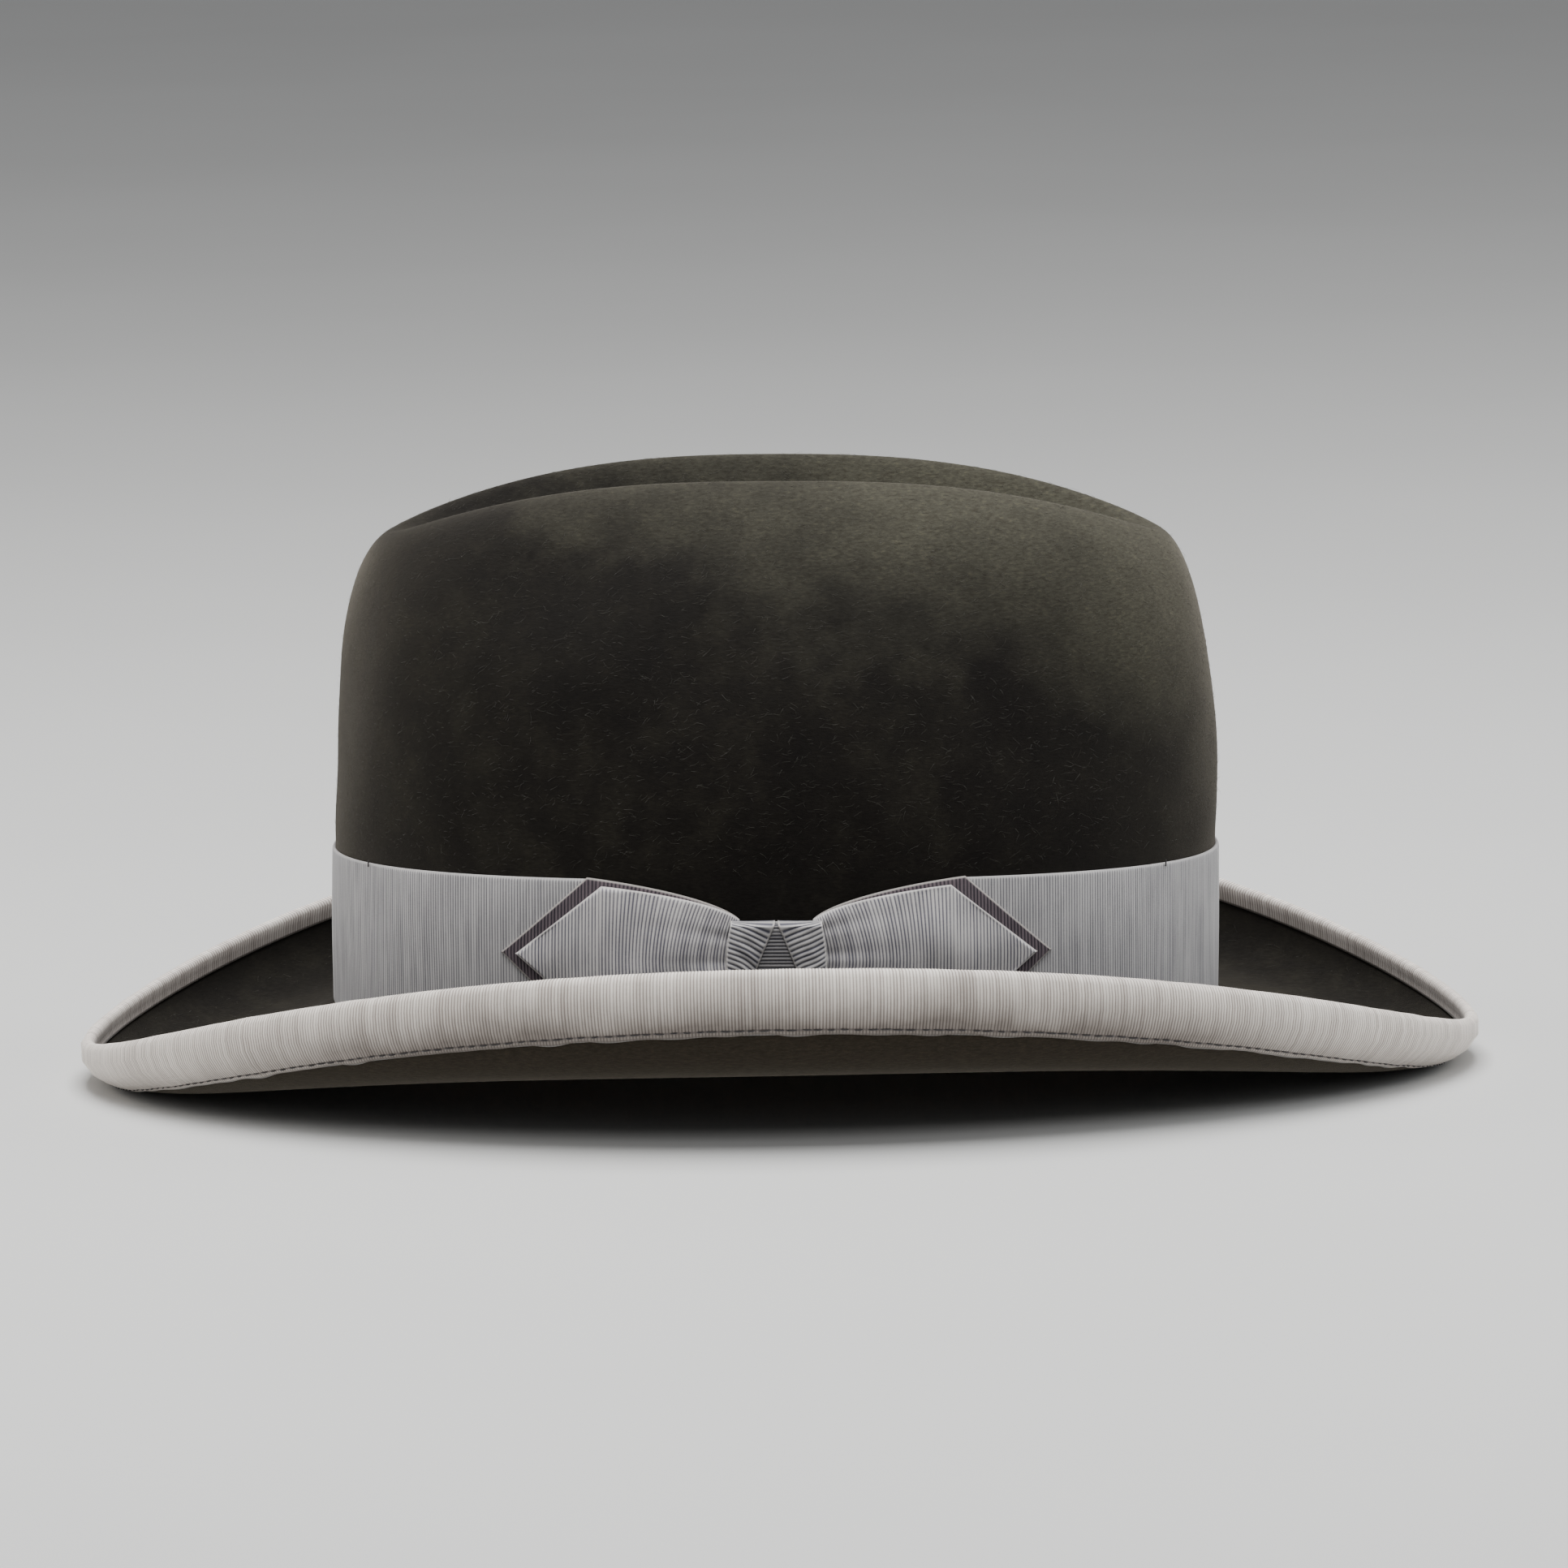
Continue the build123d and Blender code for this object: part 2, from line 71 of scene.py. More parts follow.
BAND_LIFT, BAND_WIDTH, RIBBON = 0.5, 38.0, 0.7
BOW_MID = BREAK_RISE + BAND_LIFT + BAND_WIDTH / 2
BOW_POINT, BOW_CORNER, BOW_HALF_HEIGHT = 62.0, 41.5, 17.2
BOW_PEEK, BOW_PINCH, BOW_INNER = (3.4, 1.8), 9.6, 8.5
KNOT_BACK, KNOT_FRONT, PANEL_HALF_WIDTH = 87.5, 90.1, 10.6
RIB_PITCH, RIB_HEIGHT = 0.78, 0.11              # one rib of the grosgrain

SWEAT_HEIGHT, SWEAT_IN, SWEAT_OUT = 44.0, -4.8, -3.6
REAR_RADIUS = 105.0                             # of the head opening, at the sweatband's seam
TIP_HEIGHT, TIP_WIDTH, TIP_LENGTH, TIP_RISE = 93.0, 62.0, 84.0, 4.0
LINING, LINING_INSET, LINING_BOTTOM, LINING_TURN = 0.4, 0.4, 18.0, 58.0

# ---- fineness of the meshes ----
FELT_COLUMNS, LINING_COLUMNS, TIP_COLUMNS, SWEAT_COLUMNS = 400, 900, 360, 520
STITCHES, FIBRES = 300, 19000


def mix(pair, phi):
    """From the value at the front and rear to the value at the sides."""
    return pair[0] + (pair[1] - pair[0]) * np.sin(phi) ** 2


def ease(x):
    """0 below 0, 1 above 1, smooth between."""
    x = np.clip(x, 0.0, 1.0)
    return x * x * (3 - 2 * x)


class Waves:
    """Smooth random field: a sum of plane waves with a feature size in millimetres."""

    def __init__(self, size, count=24):
        turn = rng.normal(size=(count, 3))
        turn /= np.linalg.norm(turn, axis=1)[:, None]
        self.k = turn * (2 * pi / size * rng.uniform(0.6, 1.4, count))[:, None]
        self.p = rng.uniform(0, 2 * pi, count)

    def __call__(self, points):
        flat = points.reshape(-1, 3)
        total = np.zeros(len(flat))
        for k, p in zip(self.k, self.p):
            total += np.cos(flat @ k + p)
        return (total / np.sqrt(len(self.p) / 2)).reshape(points.shape[:-1])


# ---- crown, in its own frame ----
def ridge_height(phi):
    """Height of the ridge over the break line: it falls towards the front and the rear."""
    return RIDGE_HEIGHT - RIDGE_DROP * np.abs(np.cos(phi)) ** RIDGE_ARC


def base_height(phi):
    return BREAK_RISE * np.sin(phi) ** 2


def wall(phi, rise, out=0.0):
    """Points on the crown's side: rise 0 at the break, 1 at the ridge."""
    rise = np.clip(rise, 0.0, 1.0)
    inward = (1 - rise ** mix(WALL_RISE_POWER, phi)) ** (1 / mix(WALL_PLAN_POWER, phi))
    wide = RIDGE_WIDTH + (CROWN_WIDTH + out - RIDGE_WIDTH) * inward
    long = RIDGE_LENGTH + (CROWN_LENGTH + out - RIDGE_LENGTH) * inward
    low = base_height(phi)
    high = low + (ridge_height(phi) + out - low) * rise
    return np.stack(np.broadcast_arrays(wide * np.sin(phi), -long * np.cos(phi), high), -1)


def wall_at(phi, height, out=0.0):
    """Points on the crown's side at a height above the break line."""
    return wall(phi, height / (ridge_height(phi) - base_height(phi)), out)


def crease(phi, inward, depth=0.0):
    """Points in the crease: inward 0 at the ridge, 1 on the middle line."""
    w = np.minimum(inward / CREASE_END, 1.0)
    sink = 2.5 * w**1.5 - 1.5 * w**2.5
    steep = 3.75 * (w**0.5 - w**1.5) / CREASE_END
    fall = ridge_height(phi) - CREASE_FLOOR
    radius = np.hypot(RIDGE_WIDTH * np.sin(phi), RIDGE_LENGTH * np.cos(phi))
    high = ridge_height(phi) - fall * sink - depth * np.sqrt(1 + (fall * steep / radius) ** 2)
    keep = 1 - inward
    x, y = RIDGE_WIDTH * keep * np.sin(phi), -RIDGE_LENGTH * keep * np.cos(phi)
    return np.stack(np.broadcast_arrays(x, y, high), -1)


def placed(points):
    """Crown points in the row frame."""
    x, y, h = points[..., 0], points[..., 1], points[..., 2]
    back, level = sin(CROWN_LEAN), cos(CROWN_LEAN)
    return np.stack([x, y * level + h * back - CROWN_FORWARD,
                     BREAK_HEIGHT - y * back + h * level], -1)


# ---- brim: a middle surface and an offset towards its upper face ----
def falling(heights, phi):
    """A height that is heights[0] at the sides and falls away to the front and the rear."""
    c2 = np.cos(phi) ** 2
    return heights[0] - heights[1] * c2 - heights[2] * c2 * c2


class Brim:
    """The brim's sections at many phi: r runs out from the crown, z is up."""

    def __init__(self, phi):
        base = placed(wall(phi, np.zeros_like(phi)))
        self.x0, self.y0 = base[..., 0], base[..., 1]
        edge_x = BRIM_WIDTH * np.sin(phi) * (1 - BRIM_TAPER * np.cos(phi) ** 2)
        edge_y = -BRIM_LENGTH * np.cos(phi)
        reach = np.hypot(edge_x - self.x0, edge_y - self.y0)
        self.dx, self.dy = (edge_x - self.x0) / reach, (edge_y - self.y0) / reach
        skin = FELT / 2 + GAP + BINDING
        self.curl = mix(CURL_WIDTH, phi)
        self.flat = reach - skin - self.curl
        self.low = falling(BRIM_BOTTOM, phi) + FELT / 2
        self.lift = (falling(EDGE_HEIGHT, phi) - skin - self.low) / (1 - cos(CURL_TURN))
        self.start = base[..., 2] - FELT / 2
        angles = np.linspace(CURL_TURN, 0, 121)
        mid = (angles[1:] + angles[:-1]) / 2
        step = np.hypot(self.curl[..., None] * np.cos(mid), self.lift[..., None] * np.sin(mid))
        self.arc = np.concatenate([np.zeros_like(step[..., :1]),
                                   np.cumsum(step * (angles[0] - angles[1]), -1)], -1)
        self.angles = angles

    def flat_section(self, t):
        fall = self.low - self.start
        return (self.flat * t, self.start + fall * (1.5 * t - 0.5 * t**3),
                self.flat, fall * (1.5 - 1.5 * t**2))

    def curl_section(self, angle):
        return (self.flat + self.curl * np.sin(angle), self.low + self.lift * (1 - np.cos(angle)),
                self.curl * np.cos(angle), self.lift * np.sin(angle))

    def angle_at(self, length):
        """Angle on the curl at an arc length back from the edge."""
        length = np.broadcast_to(length, self.arc.shape[:-1])
        arcs = self.arc.reshape(-1, len(self.angles))
        back = [np.interp(run, arc, self.angles) for run, arc in zip(length.ravel(), arcs)]
        return np.array(back).reshape(length.shape)

    def place(self, section, offset):
        r, z, dr, dz = section
        size = np.hypot(dr, dz)
        r, z = r - offset * dz / size, z + offset * dr / size
        return np.stack([self.x0 + self.dx * r, self.y0 + self.dy * r, z], -1)

    def cap(self, radius, angle):
        """Points on the round end of the brim: angle 0 outside, a half turn inside."""
        r, z, dr, dz = self.curl_section(CURL_TURN)
        size = np.hypot(dr, dz)
        along, across = radius * np.sin(angle) / size, -radius * np.cos(angle) / size
        r, z = r + along * dr - across * dz, z + along * dz + across * dr
        return np.stack([self.x0 + self.dx * r, self.y0 + self.dy * r, z], -1)


def edge_line(phi):
    """Points along the very edge of the felt brim."""
    return Brim(phi).cap(0.0, pi / 2)


def even_angles(curve, count):
    """Angles that space points evenly along a closed curve(phi), and the curve's length."""
    fine = np.linspace(0, 2 * pi, 2881)
    steps = np.linalg.norm(np.diff(curve(fine), axis=0), axis=1)
    along = np.concatenate([[0], np.cumsum(steps)])
    return np.interp(np.arange(count) / count * along[-1], along, fine), along[-1]


# ---- meshes ----
def make(name, points, faces, material, uv=None):
    """A mesh piece from points in millimetres, which rides on the hat."""
    mesh = bpy.data.meshes.new(name)
    mesh.from_pydata((np.asarray(points).reshape(-1, 3) * MM).tolist(), [], faces)
    mesh.polygons.foreach_set("use_smooth", [True] * len(mesh.polygons))
    if uv is not None:
        layer = mesh.uv_layers.new(name="weave")
        corner = np.zeros(len(mesh.loops), np.int32)
        mesh.loops.foreach_get("vertex_index", corner)
        layer.data.foreach_set("uv", np.asarray(uv).reshape(-1, 2)[corner].ravel())
    mesh.materials.append(material)
    piece = bpy.data.objects.new(name, mesh)
    bpy.context.collection.objects.link(piece)
    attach(piece, ROOT)
    return piece


def grid_faces(rows, cols, wrap_rows, wrap_cols, start=0):
    """Quads of a grid of rows x cols points, closed on itself either way."""
    i = np.arange(rows if wrap_rows else rows - 1)
    j = np.arange(cols if wrap_cols else cols - 1)
    a, b = np.meshgrid(i, j, indexing="ij")
    up, right = (a + 1) % rows, (b + 1) % cols
    quads = np.stack([a * cols + b, a * cols + right, up * cols + right, up * cols + b], -1)
    return (quads.reshape(-1, 4) + start).tolist()


def hoop(name, rows, material, uv=None):
    """A closed ring: rows[k] holds the points of section point k, all round the hat."""
    points = np.stack(rows)
    faces = grid_faces(points.shape[0], points.shape[1], True, True)
    return make(name, points, faces, material, uv)


def capped(name, points, material, uv=None, flip=False):
    """A closed skin over a grid that wraps round by columns, with a fan of faces at each end.
    flip reverses the order of every face's corners."""
    rows, cols = points.shape[:2]
    count = rows * cols
    faces = grid_faces(rows, cols, False, True)
    for j in range(cols):
        k = (j + 1) % cols
        faces.append([count, k, j])
        faces.append([count + 1, count - cols + j, count - cols + k])
    if flip:
        faces = [face[::-1] for face in faces]
    ends = [points[0].mean(0), points[-1].mean(0)]
    skin = np.concatenate([points.reshape(-1, 3), ends])
    return make(name, skin, faces, material, uv)


def slab(name, front, back, material, uv, mirrored):
    """A closed sheet from two matching grids of points, its front and its back."""
    if mirrored:
        front, back, uv = front[:, ::-1], back[:, ::-1], uv[:, ::-1]
    rows, cols = front.shape[:2]
    count = rows * cols
    faces = grid_faces(rows, cols, False, False)
    faces += [[count + k for k in reversed(face)] for face in faces]
    rim = list(range(cols)) + [i * cols + cols - 1 for i in range(1, rows)]
    rim += [(rows - 1) * cols + j for j in range(cols - 2, -1, -1)]
    rim += [i * cols for i in range(rows - 2, 0, -1)]
    for a, b in zip(rim, rim[1:] + rim[:1]):
        faces.append([b, a, count + a, count + b])
    points = np.concatenate([front.reshape(-1, 3), back.reshape(-1, 3)])
    return make(name, points, faces, material, np.concatenate([uv.reshape(-1, 2)] * 2))


def threads(name, lines, radius, material):
    """Round threads along several lines of points, joined in one piece."""
    sides = 6
    turn = np.arange(sides) * 2 * pi / sides
    points, faces, start = [], [], 0
    for line in lines:
        ahead = np.roll(line, -1, 0) - np.roll(line, 1, 0)
        ahead[0], ahead[-1] = line[1] - line[0], line[-1] - line[-2]
        ahead /= np.linalg.norm(ahead, axis=1)[:, None]
        side = np.cross(ahead, (0.31, 0.17, 0.93))
        side /= np.linalg.norm(side, axis=1)[:, None]
        other = np.cross(ahead, side)
        size = np.full(len(line), radius)
        size[0] = size[-1] = radius * 0.35
        ring = (np.cos(turn)[None, :, None] * side[:, None]
                + np.sin(turn)[None, :, None] * other[:, None])
        points.append((line[:, None] + ring * size[:, None, None]).reshape(-1, 3))
        faces += grid_faces(len(line), sides, False, True, start)
        faces.append([start + k for k in reversed(range(sides))])
        faces.append([start + (len(line) - 1) * sides + k for k in range(sides)])
        start += len(line) * sides
    return make(name, np.concatenate(points), faces, material)


# ---- materials ----
class Look:
    """A Principled material and short calls that add nodes and return their outputs."""

    def __init__(self, name, **values):
        self.material = bpy.data.materials.new(name)
        self.material.use_nodes = True
        self.tree = self.material.node_tree
        self.shader = self.tree.nodes["Principled BSDF"]
        for key, value in values.items():
            self.shader.inputs[key.replace("_", " ")].default_value = value

    def node(self, kind, inputs=None, **settings):
        node = self.tree.nodes.new("ShaderNode" + kind)
        for key, value in settings.items():
            setattr(node, key, value)
        for key, value in (inputs or {}).items():
            if isinstance(value, bpy.types.NodeSocket):
                self.tree.links.new(value, node.inputs[key])
            else:
                node.inputs[key].default_value = value
        return node

    def place(self, scale=(1, 1, 1)):
        """Position on the object in metres, stretched by scale."""
        at = self.node("TexCoord").outputs["Object"]
        return self.node("Mapping", {"Vector": at, "Scale": scale}).outputs[0]

    def weave(self):
        """The ribbon's own position: ribs along it, millimetres across it."""
        uv = self.node("UVMap", uv_map="weave").outputs[0]
        return self.node("SeparateXYZ", {"Vector": uv}).outputs

    def noise(self, vector, scale, detail=3.0, rough=0.55):
        return self.node("TexNoise", {"Vector": vector, "Scale": scale, "Detail": detail,
                                      "Roughness": rough}).outputs[0]

    def span(self, value, low, high, to_low=0.0, to_high=1.0):
        return self.node("MapRange", {"Value": value, "From Min": low, "From Max": high,
                                      "To Min": to_low, "To Max": to_high}).outputs[0]

    def math(self, operation, a, b=0.0, c=0.0):
        return self.node("Math", {0: a, 1: b, 2: c}, operation=operation).outputs[0]

    def ramp(self, value, stops):
        node = self.node("ValToRGB", {"Fac": value})
        ramp = node.color_ramp
        while len(ramp.elements) < len(stops):
            ramp.elements.new(0.5)
        for element, (at, colour) in zip(ramp.elements, stops):
            element.position, element.color = at, (*colour, 1)
        return node.outputs[0]

    def blend(self, amount, a, b, kind="MIX"):
        node = self.node("Mix", data_type="RGBA", blend_type=kind)
        for socket, value in ((node.inputs[0], amount), (node.inputs[6], a), (node.inputs[7], b)):
            if isinstance(value, bpy.types.NodeSocket):
                self.tree.links.new(value, socket)
            else:
                socket.default_value = (*value, 1) if isinstance(value, tuple) else value
        return node.outputs[2]

    def bump(self, height, strength, distance_mm):
        return self.node("Bump", {"Height": height, "Strength": strength,
                                  "Distance": distance_mm * MM}).outputs[0]

    def done(self, colour, rough, normal=None):
        for key, value in (("Base Color", colour), ("Roughness", rough), ("Normal", normal)):
            if value is not None:
                self.tree.links.new(value, self.shader.inputs[key])
        return self.material


def felt_look():
    """Brushed fur felt: mottled near-black olive with a fine lie of fibres, and painted light that
    makes it paler high up.
    """
    look = Look("fur_felt", Sheen_Weight=0.28, Sheen_Roughness=0.42,
                Sheen_Tint=(0.62, 0.56, 0.46, 1), Specular_IOR_Level=0.15)
    cloud = look.noise(look.place(), 24, 3)
    patch = look.noise(look.place(), 95, 4, 0.65)
    nap = look.noise(look.place((1, 1, 3.2)), 620, 5, 0.7)
    fibre = look.noise(look.place((1, 1, 4.5)), 2300, 3, 0.6)
    ground = look.ramp(look.math("MULTIPLY_ADD", patch, 0.5, look.math("MULTIPLY", cloud, 0.5)),
                       [(0.36, (0.0024, 0.0017, 0.0012)), (0.50, (0.0045, 0.0036, 0.0025)),
                        (0.66, (0.0102, 0.0090, 0.0061))])
    height, along = (look.node("SeparateXYZ", {"Vector": look.place()}).outputs[k] for k in (2, 1))
    # Painted light: paler high up on the crown, and more so towards the rear, its edge broken up
    # by the random cloud.
    painted_shading = look.math("MULTIPLY_ADD", look.span(cloud, 0.3, 0.7, -0.5, 0.5), 0.030, height)
    painted_shading = look.math("MULTIPLY_ADD", along, 0.40, painted_shading)
    painted_light_share = look.math("MULTIPLY", look.span(painted_shading, 0.114, 0.162), 0.78)
    ground = look.blend(painted_light_share, ground, (0.054, 0.052, 0.038))
    # Dusty brown under the brim.
    facing = look.node("TexCoord").outputs["Normal"]
    down = look.span(look.node("SeparateXYZ", {"Vector": facing}).outputs[2], 0.05, -0.45)
    dust = look.math("MULTIPLY", look.math("MULTIPLY", look.span(height, 0.055, 0.035), down), 0.9)
    ground = look.blend(dust, ground, (0.0215, 0.0165, 0.0105))
    nap_tint = look.ramp(nap, [(0.30, (0.55, 0.50, 0.46)), (0.55, (1.0, 1.0, 1.0)),
                               (0.78, (1.75, 1.68, 1.42))])
    colour = look.blend(1.0, ground, nap_tint, "MULTIPLY")
    strand = look.span(fibre, 0.66, 0.80)
    colour = look.blend(look.math("MULTIPLY", strand, 0.30), colour, (0.060, 0.055, 0.040))
    pile = look.math("MULTIPLY_ADD", nap, 0.6, look.math("MULTIPLY", fibre, 0.4))
    rough = look.span(nap, 0.2, 0.8, 0.98, 0.80)
    return look.done(colour, rough, look.bump(pile, 0.55, 0.35))


def grosgrain_look(name, valley, crest, edge, rough_low, ribbon_width, painted_shading=False):
    """Ribbed ribbon: dark between the ribs, partly painted shade, with fine warp threads over them
    and pale selvedges.
    The ribbon's second coordinate is measured across it, or from its edge if the width is 0.
    With the last flag on, the ribbon gets painted shade on the lower part of its outer face and on
    its inside face past the fold, and is dark at its seam."""
    look = Look(name, Sheen_Weight=0.18, Sheen_Roughness=0.35, Specular_IOR_Level=0.42)
    ribs, across, _ = look.weave()
    turn = look.math("MULTIPLY", ribs, 2 * pi)
    crown = look.math("MULTIPLY_ADD", look.math("COSINE", turn), 0.5, 0.5)
    at = look.node("CombineXYZ", {"X": ribs, "Y": across}).outputs[0]
    per_rib = look.node("CombineXYZ", {"X": look.math("FLOOR", look.math("ADD", ribs, 0.5)),
                                       "Y": look.math("MULTIPLY", across, 0.035)}).outputs[0]
    uneven = look.noise(per_rib, 0.83, 2)
    stains = look.noise(look.place(), 60, 3)
    threads_at = look.node("Mapping", {"Vector": at, "Scale": (0.45, 7.0, 1)}).outputs[0]
    warp = look.noise(threads_at, 1.0, 2)
    # Lighter on the rib crests and darker in the valleys: partly the weave's own colour, partly
    # painted shade in the valleys; uneven ribs, warp threads and stains add their own tone.
    tone_and_rib_shade = look.math("MULTIPLY_ADD", look.span(uneven, 0.3, 0.7, -0.30, 0.30), 1.0,
                    look.math("POWER", crown, 0.75))
    tone_and_rib_shade = look.math("MULTIPLY_ADD", look.span(warp, 0.25, 0.75, -0.5, 0.5), 0.22, tone_and_rib_shade)
    tone_and_rib_shade = look.math("MULTIPLY_ADD", look.span(stains, 0.3, 0.7, -0.5, 0.5), 0.20, tone_and_rib_shade)
    between = tuple((a + b) / 2 for a, b in zip(valley, crest))
    colour = look.ramp(tone_and_rib_shade, [(0.02, valley), (0.45, between), (1.0, crest)])
    half = ribbon_width / 2
    if ribbon_width:
        from_middle = look.math("ABSOLUTE", look.math("SUBTRACT", across, half))
        selvedge = look.span(from_middle, half - 0.75, half - 0.45)
    else:
        selvedge = look.span(across, 0.50, 0.25)
    colour = look.blend(look.math("MULTIPLY", selvedge, 0.75), colour, edge)
    if painted_shading:
        # Painted shade: the lower part of the outer face is darker, most at the hat's sides, with
        # a ragged top edge from noise.
        along = look.node("SeparateXYZ", {"Vector": look.place()}).outputs[1]
        sides = look.span(look.math("ABSOLUTE", along), 0.165, 0.09, 0.25, 1.0)
        ragged_edge = look.span(look.noise(look.place(), 38, 4, 0.65), 0.3, 0.7, -2.2, 2.2)
        painted_low_shade = look.span(look.math("ADD", across, ragged_edge), 14.5, 2.5)
        colour = look.blend(look.math("MULTIPLY", look.math("MULTIPLY", painted_low_shade, sides), 0.85),
                            colour, (0.09, 0.072, 0.062), "MULTIPLY")
        # Painted shade on the inside face of the edge ribbon, past the fold.
        inside = look.span(across, BINDING_OUTER[1] + 2.6, BINDING_OUTER[1] + 4.8, 0.0, 0.85)
        colour = look.blend(inside, colour, (0.36, 0.35, 0.355), "MULTIPLY")
        seam = look.math("ABSOLUTE", look.math("SUBTRACT", across, EDGE_STITCH_INSET))
        colour = look.blend(look.span(seam, 0.42, 0.15, 0.0, 0.8), colour, (0.075, 0.06, 0.055))
    height = look.math("MULTIPLY_ADD", warp, 0.35, look.math("MULTIPLY", uneven, 0.4))
    rough = look.span(tone_and_rib_shade, 0.0, 1.0, 0.72, rough_low)
    return look.done(colour, rough, look.bump(height, 0.5, 0.12))


def thread_look(name, colour):
    look = Look(name, Sheen_Weight=0.2, Specular_IOR_Level=0.3)
    twist = look.noise(look.place((1, 1, 2)), 3000, 3)
    low, high = (tuple(c * share for c in colour) for share in (0.55, 1.3))
    shade = look.ramp(twist, [(0.3, low), (0.7, high)])
    return look.done(shade, look.span(twist, 0.3, 0.7, 0.9, 0.6), look.bump(twist, 0.6, 0.12))


def leather_look():
    """Tan roan: fine pebble grain, darker where hands and heads have rubbed it."""
    look = Look("roan_leather", Specular_IOR_Level=0.45, Coat_Weight=0.12, Coat_Roughness=0.35)
    cells = look.node("TexVoronoi", {"Vector": look.place(), "Scale": 1250.0},
                      feature="DISTANCE_TO_EDGE").outputs[0]
    crease_lines = look.span(cells, 0.0, 0.12)
    wear = look.noise(look.place(), 45, 4)
    pores = look.noise(look.place(), 2600, 2)
    tone = look.math("MULTIPLY_ADD", pores, 0.3, look.math("MULTIPLY", wear, 0.7))
    colour = look.ramp(tone, [(0.32, (0.105, 0.045, 0.018)), (0.5, (0.205, 0.098, 0.042)),
                              (0.68, (0.315, 0.170, 0.082))])
    colour = look.blend(look.span(crease_lines, 0.0, 1.0, 0.45, 0.0), colour, (0.06, 0.026, 0.012))
    rough = look.span(wear, 0.3, 0.7, 0.40, 0.60)
    return look.done(colour, rough, look.bump(crease_lines, 0.35, 0.12))


def satin_look(name, dark, light):
    """Satin: long floats of thread that shine across their lie, with faint slubs."""
    look = Look(name, Sheen_Weight=0.35, Sheen_Roughness=0.3, Specular_IOR_Level=0.55,
                Anisotropic=0.5)
    floats = look.noise(look.place((6, 6, 1)), 420, 3)
    slub = look.noise(look.place((1, 1, 7)), 160, 3)
    tone = look.math("MULTIPLY_ADD", floats, 0.55, look.math("MULTIPLY", slub, 0.45))
    colour = look.ramp(tone, [(0.3, dark), (0.7, light)])
    return look.done(colour, look.span(slub, 0.3, 0.7, 0.30, 0.45), look.bump(floats, 0.25, 0.08))


def paper_look():
    look = Look("ticket_paper", Specular_IOR_Level=0.3)
    pulp = look.noise(look.place(), 900, 4, 0.7)
    colour = look.ramp(pulp, [(0.3, (0.60, 0.54, 0.42)), (0.7, (0.76, 0.71, 0.60))])
    return look.done(colour, look.span(pulp, 0.3, 0.7, 0.95, 0.8), look.bump(pulp, 0.3, 0.05))


FELT_LOOK = felt_look()
# One grosgrain in lit and shaded copies: the edge ribbon is painted lightest, as lit; the bow, the
# knot's pleats and the crown ribbon darker; the bow's under wings and the knot's middle panel
# darkest, as painted shade.
BAND_LOOK = grosgrain_look("band_grosgrain", (0.160, 0.155, 0.168), (0.500, 0.487, 0.485),
                           (0.52, 0.50, 0.49), 0.40, BAND_WIDTH)
BINDING_LOOK = grosgrain_look("edge_grosgrain", (0.38, 0.33, 0.295), (0.90, 0.835, 0.765),
                              (0.46, 0.42, 0.38), 0.46, 22.5, painted_shading=True)
BOW_LOOK = grosgrain_look("bow_grosgrain", (0.115, 0.110, 0.140), (0.63, 0.605, 0.59),
                          (0.62, 0.59, 0.57), 0.42, 0)
UNDER_LOOK = grosgrain_look("shaded_grosgrain", (0.016, 0.012, 0.020), (0.135, 0.105, 0.118),
                            (0.42, 0.39, 0.36), 0.6, 0)
KNOT_LOOK = grosgrain_look("knot_grosgrain", (0.075, 0.074, 0.100), (0.56, 0.54, 0.53),
                           (0.60, 0.57, 0.55), 0.42, 0)
PANEL_LOOK = grosgrain_look("panel_grosgrain", (0.030, 0.028, 0.040), (0.26, 0.25, 0.25),
                            (0.30, 0.28, 0.27), 0.5, 0)
NAP_LOOK = thread_look("nap_fibre", (0.044, 0.039, 0.027))
DARK_THREAD = thread_look("dark_thread", (0.030, 0.026, 0.026))
PALE_THREAD = thread_look("pale_thread", (0.50, 0.42, 0.30))
LEATHER_LOOK = leather_look()
LINING_LOOK = satin_look("oyster_satin", (0.30, 0.27, 0.21), (0.52, 0.48, 0.39))
PIPING_LOOK = satin_look("piping_satin", (0.16, 0.14, 0.11), (0.30, 0.27, 0.21))
PAPER_LOOK = paper_look()
BLACK_SATIN = satin_look("black_satin", (0.010, 0.009, 0.009), (0.035, 0.031, 0.030))


# ---- felt body ----
SLOW_WAVE, HAND_WAVE = Waves(70.0), Waves(26.0)


def hand_blocked(points):
    """How far the felt swells or sinks, from blocking and handling."""
    return 0.32 * SLOW_WAVE(points) + 0.10 * HAND_WAVE(points)


def finger_dents(phi, rise):
    """Soft hollows that fingers leave in the crown's front, below the ridge."""
    depth, side, width = 2.3, 58, 15
    upright = ((rise - 0.86) / 0.13) ** 2
    left, right = (np.exp(-(((np.degrees(phi) - middle) / width) ** 2 + upright))
                   for middle in (side, 360 - side))
    return -depth * (left + right)


def crown_rows(phi, out, crease_steps, wall_steps):
    """Rings of the crown from the crease's middle line down to the break."""
    rows = [placed(crease(phi, inward, -out)) for inward in crease_steps]
    for rise in wall_steps:
        flat = placed(wall(phi, rise, out))
        calm = ease((rise - 0.30) / 0.12)
        swell = hand_blocked(flat) * calm + finger_dents(phi, rise)
        rows.append(placed(wall(phi, rise, out + swell * ease((1 - rise) / 0.1))))
    return rows


def brim_rows(brim, offset, flat_steps, curl_steps):
    """Rings of one face of the brim from the break out to the edge."""
    rows = [brim.place(brim.flat_section(t), offset) for t in flat_steps]
    return rows + [brim.place(brim.curl_section(CURL_TURN * s), offset) for s in curl_steps]


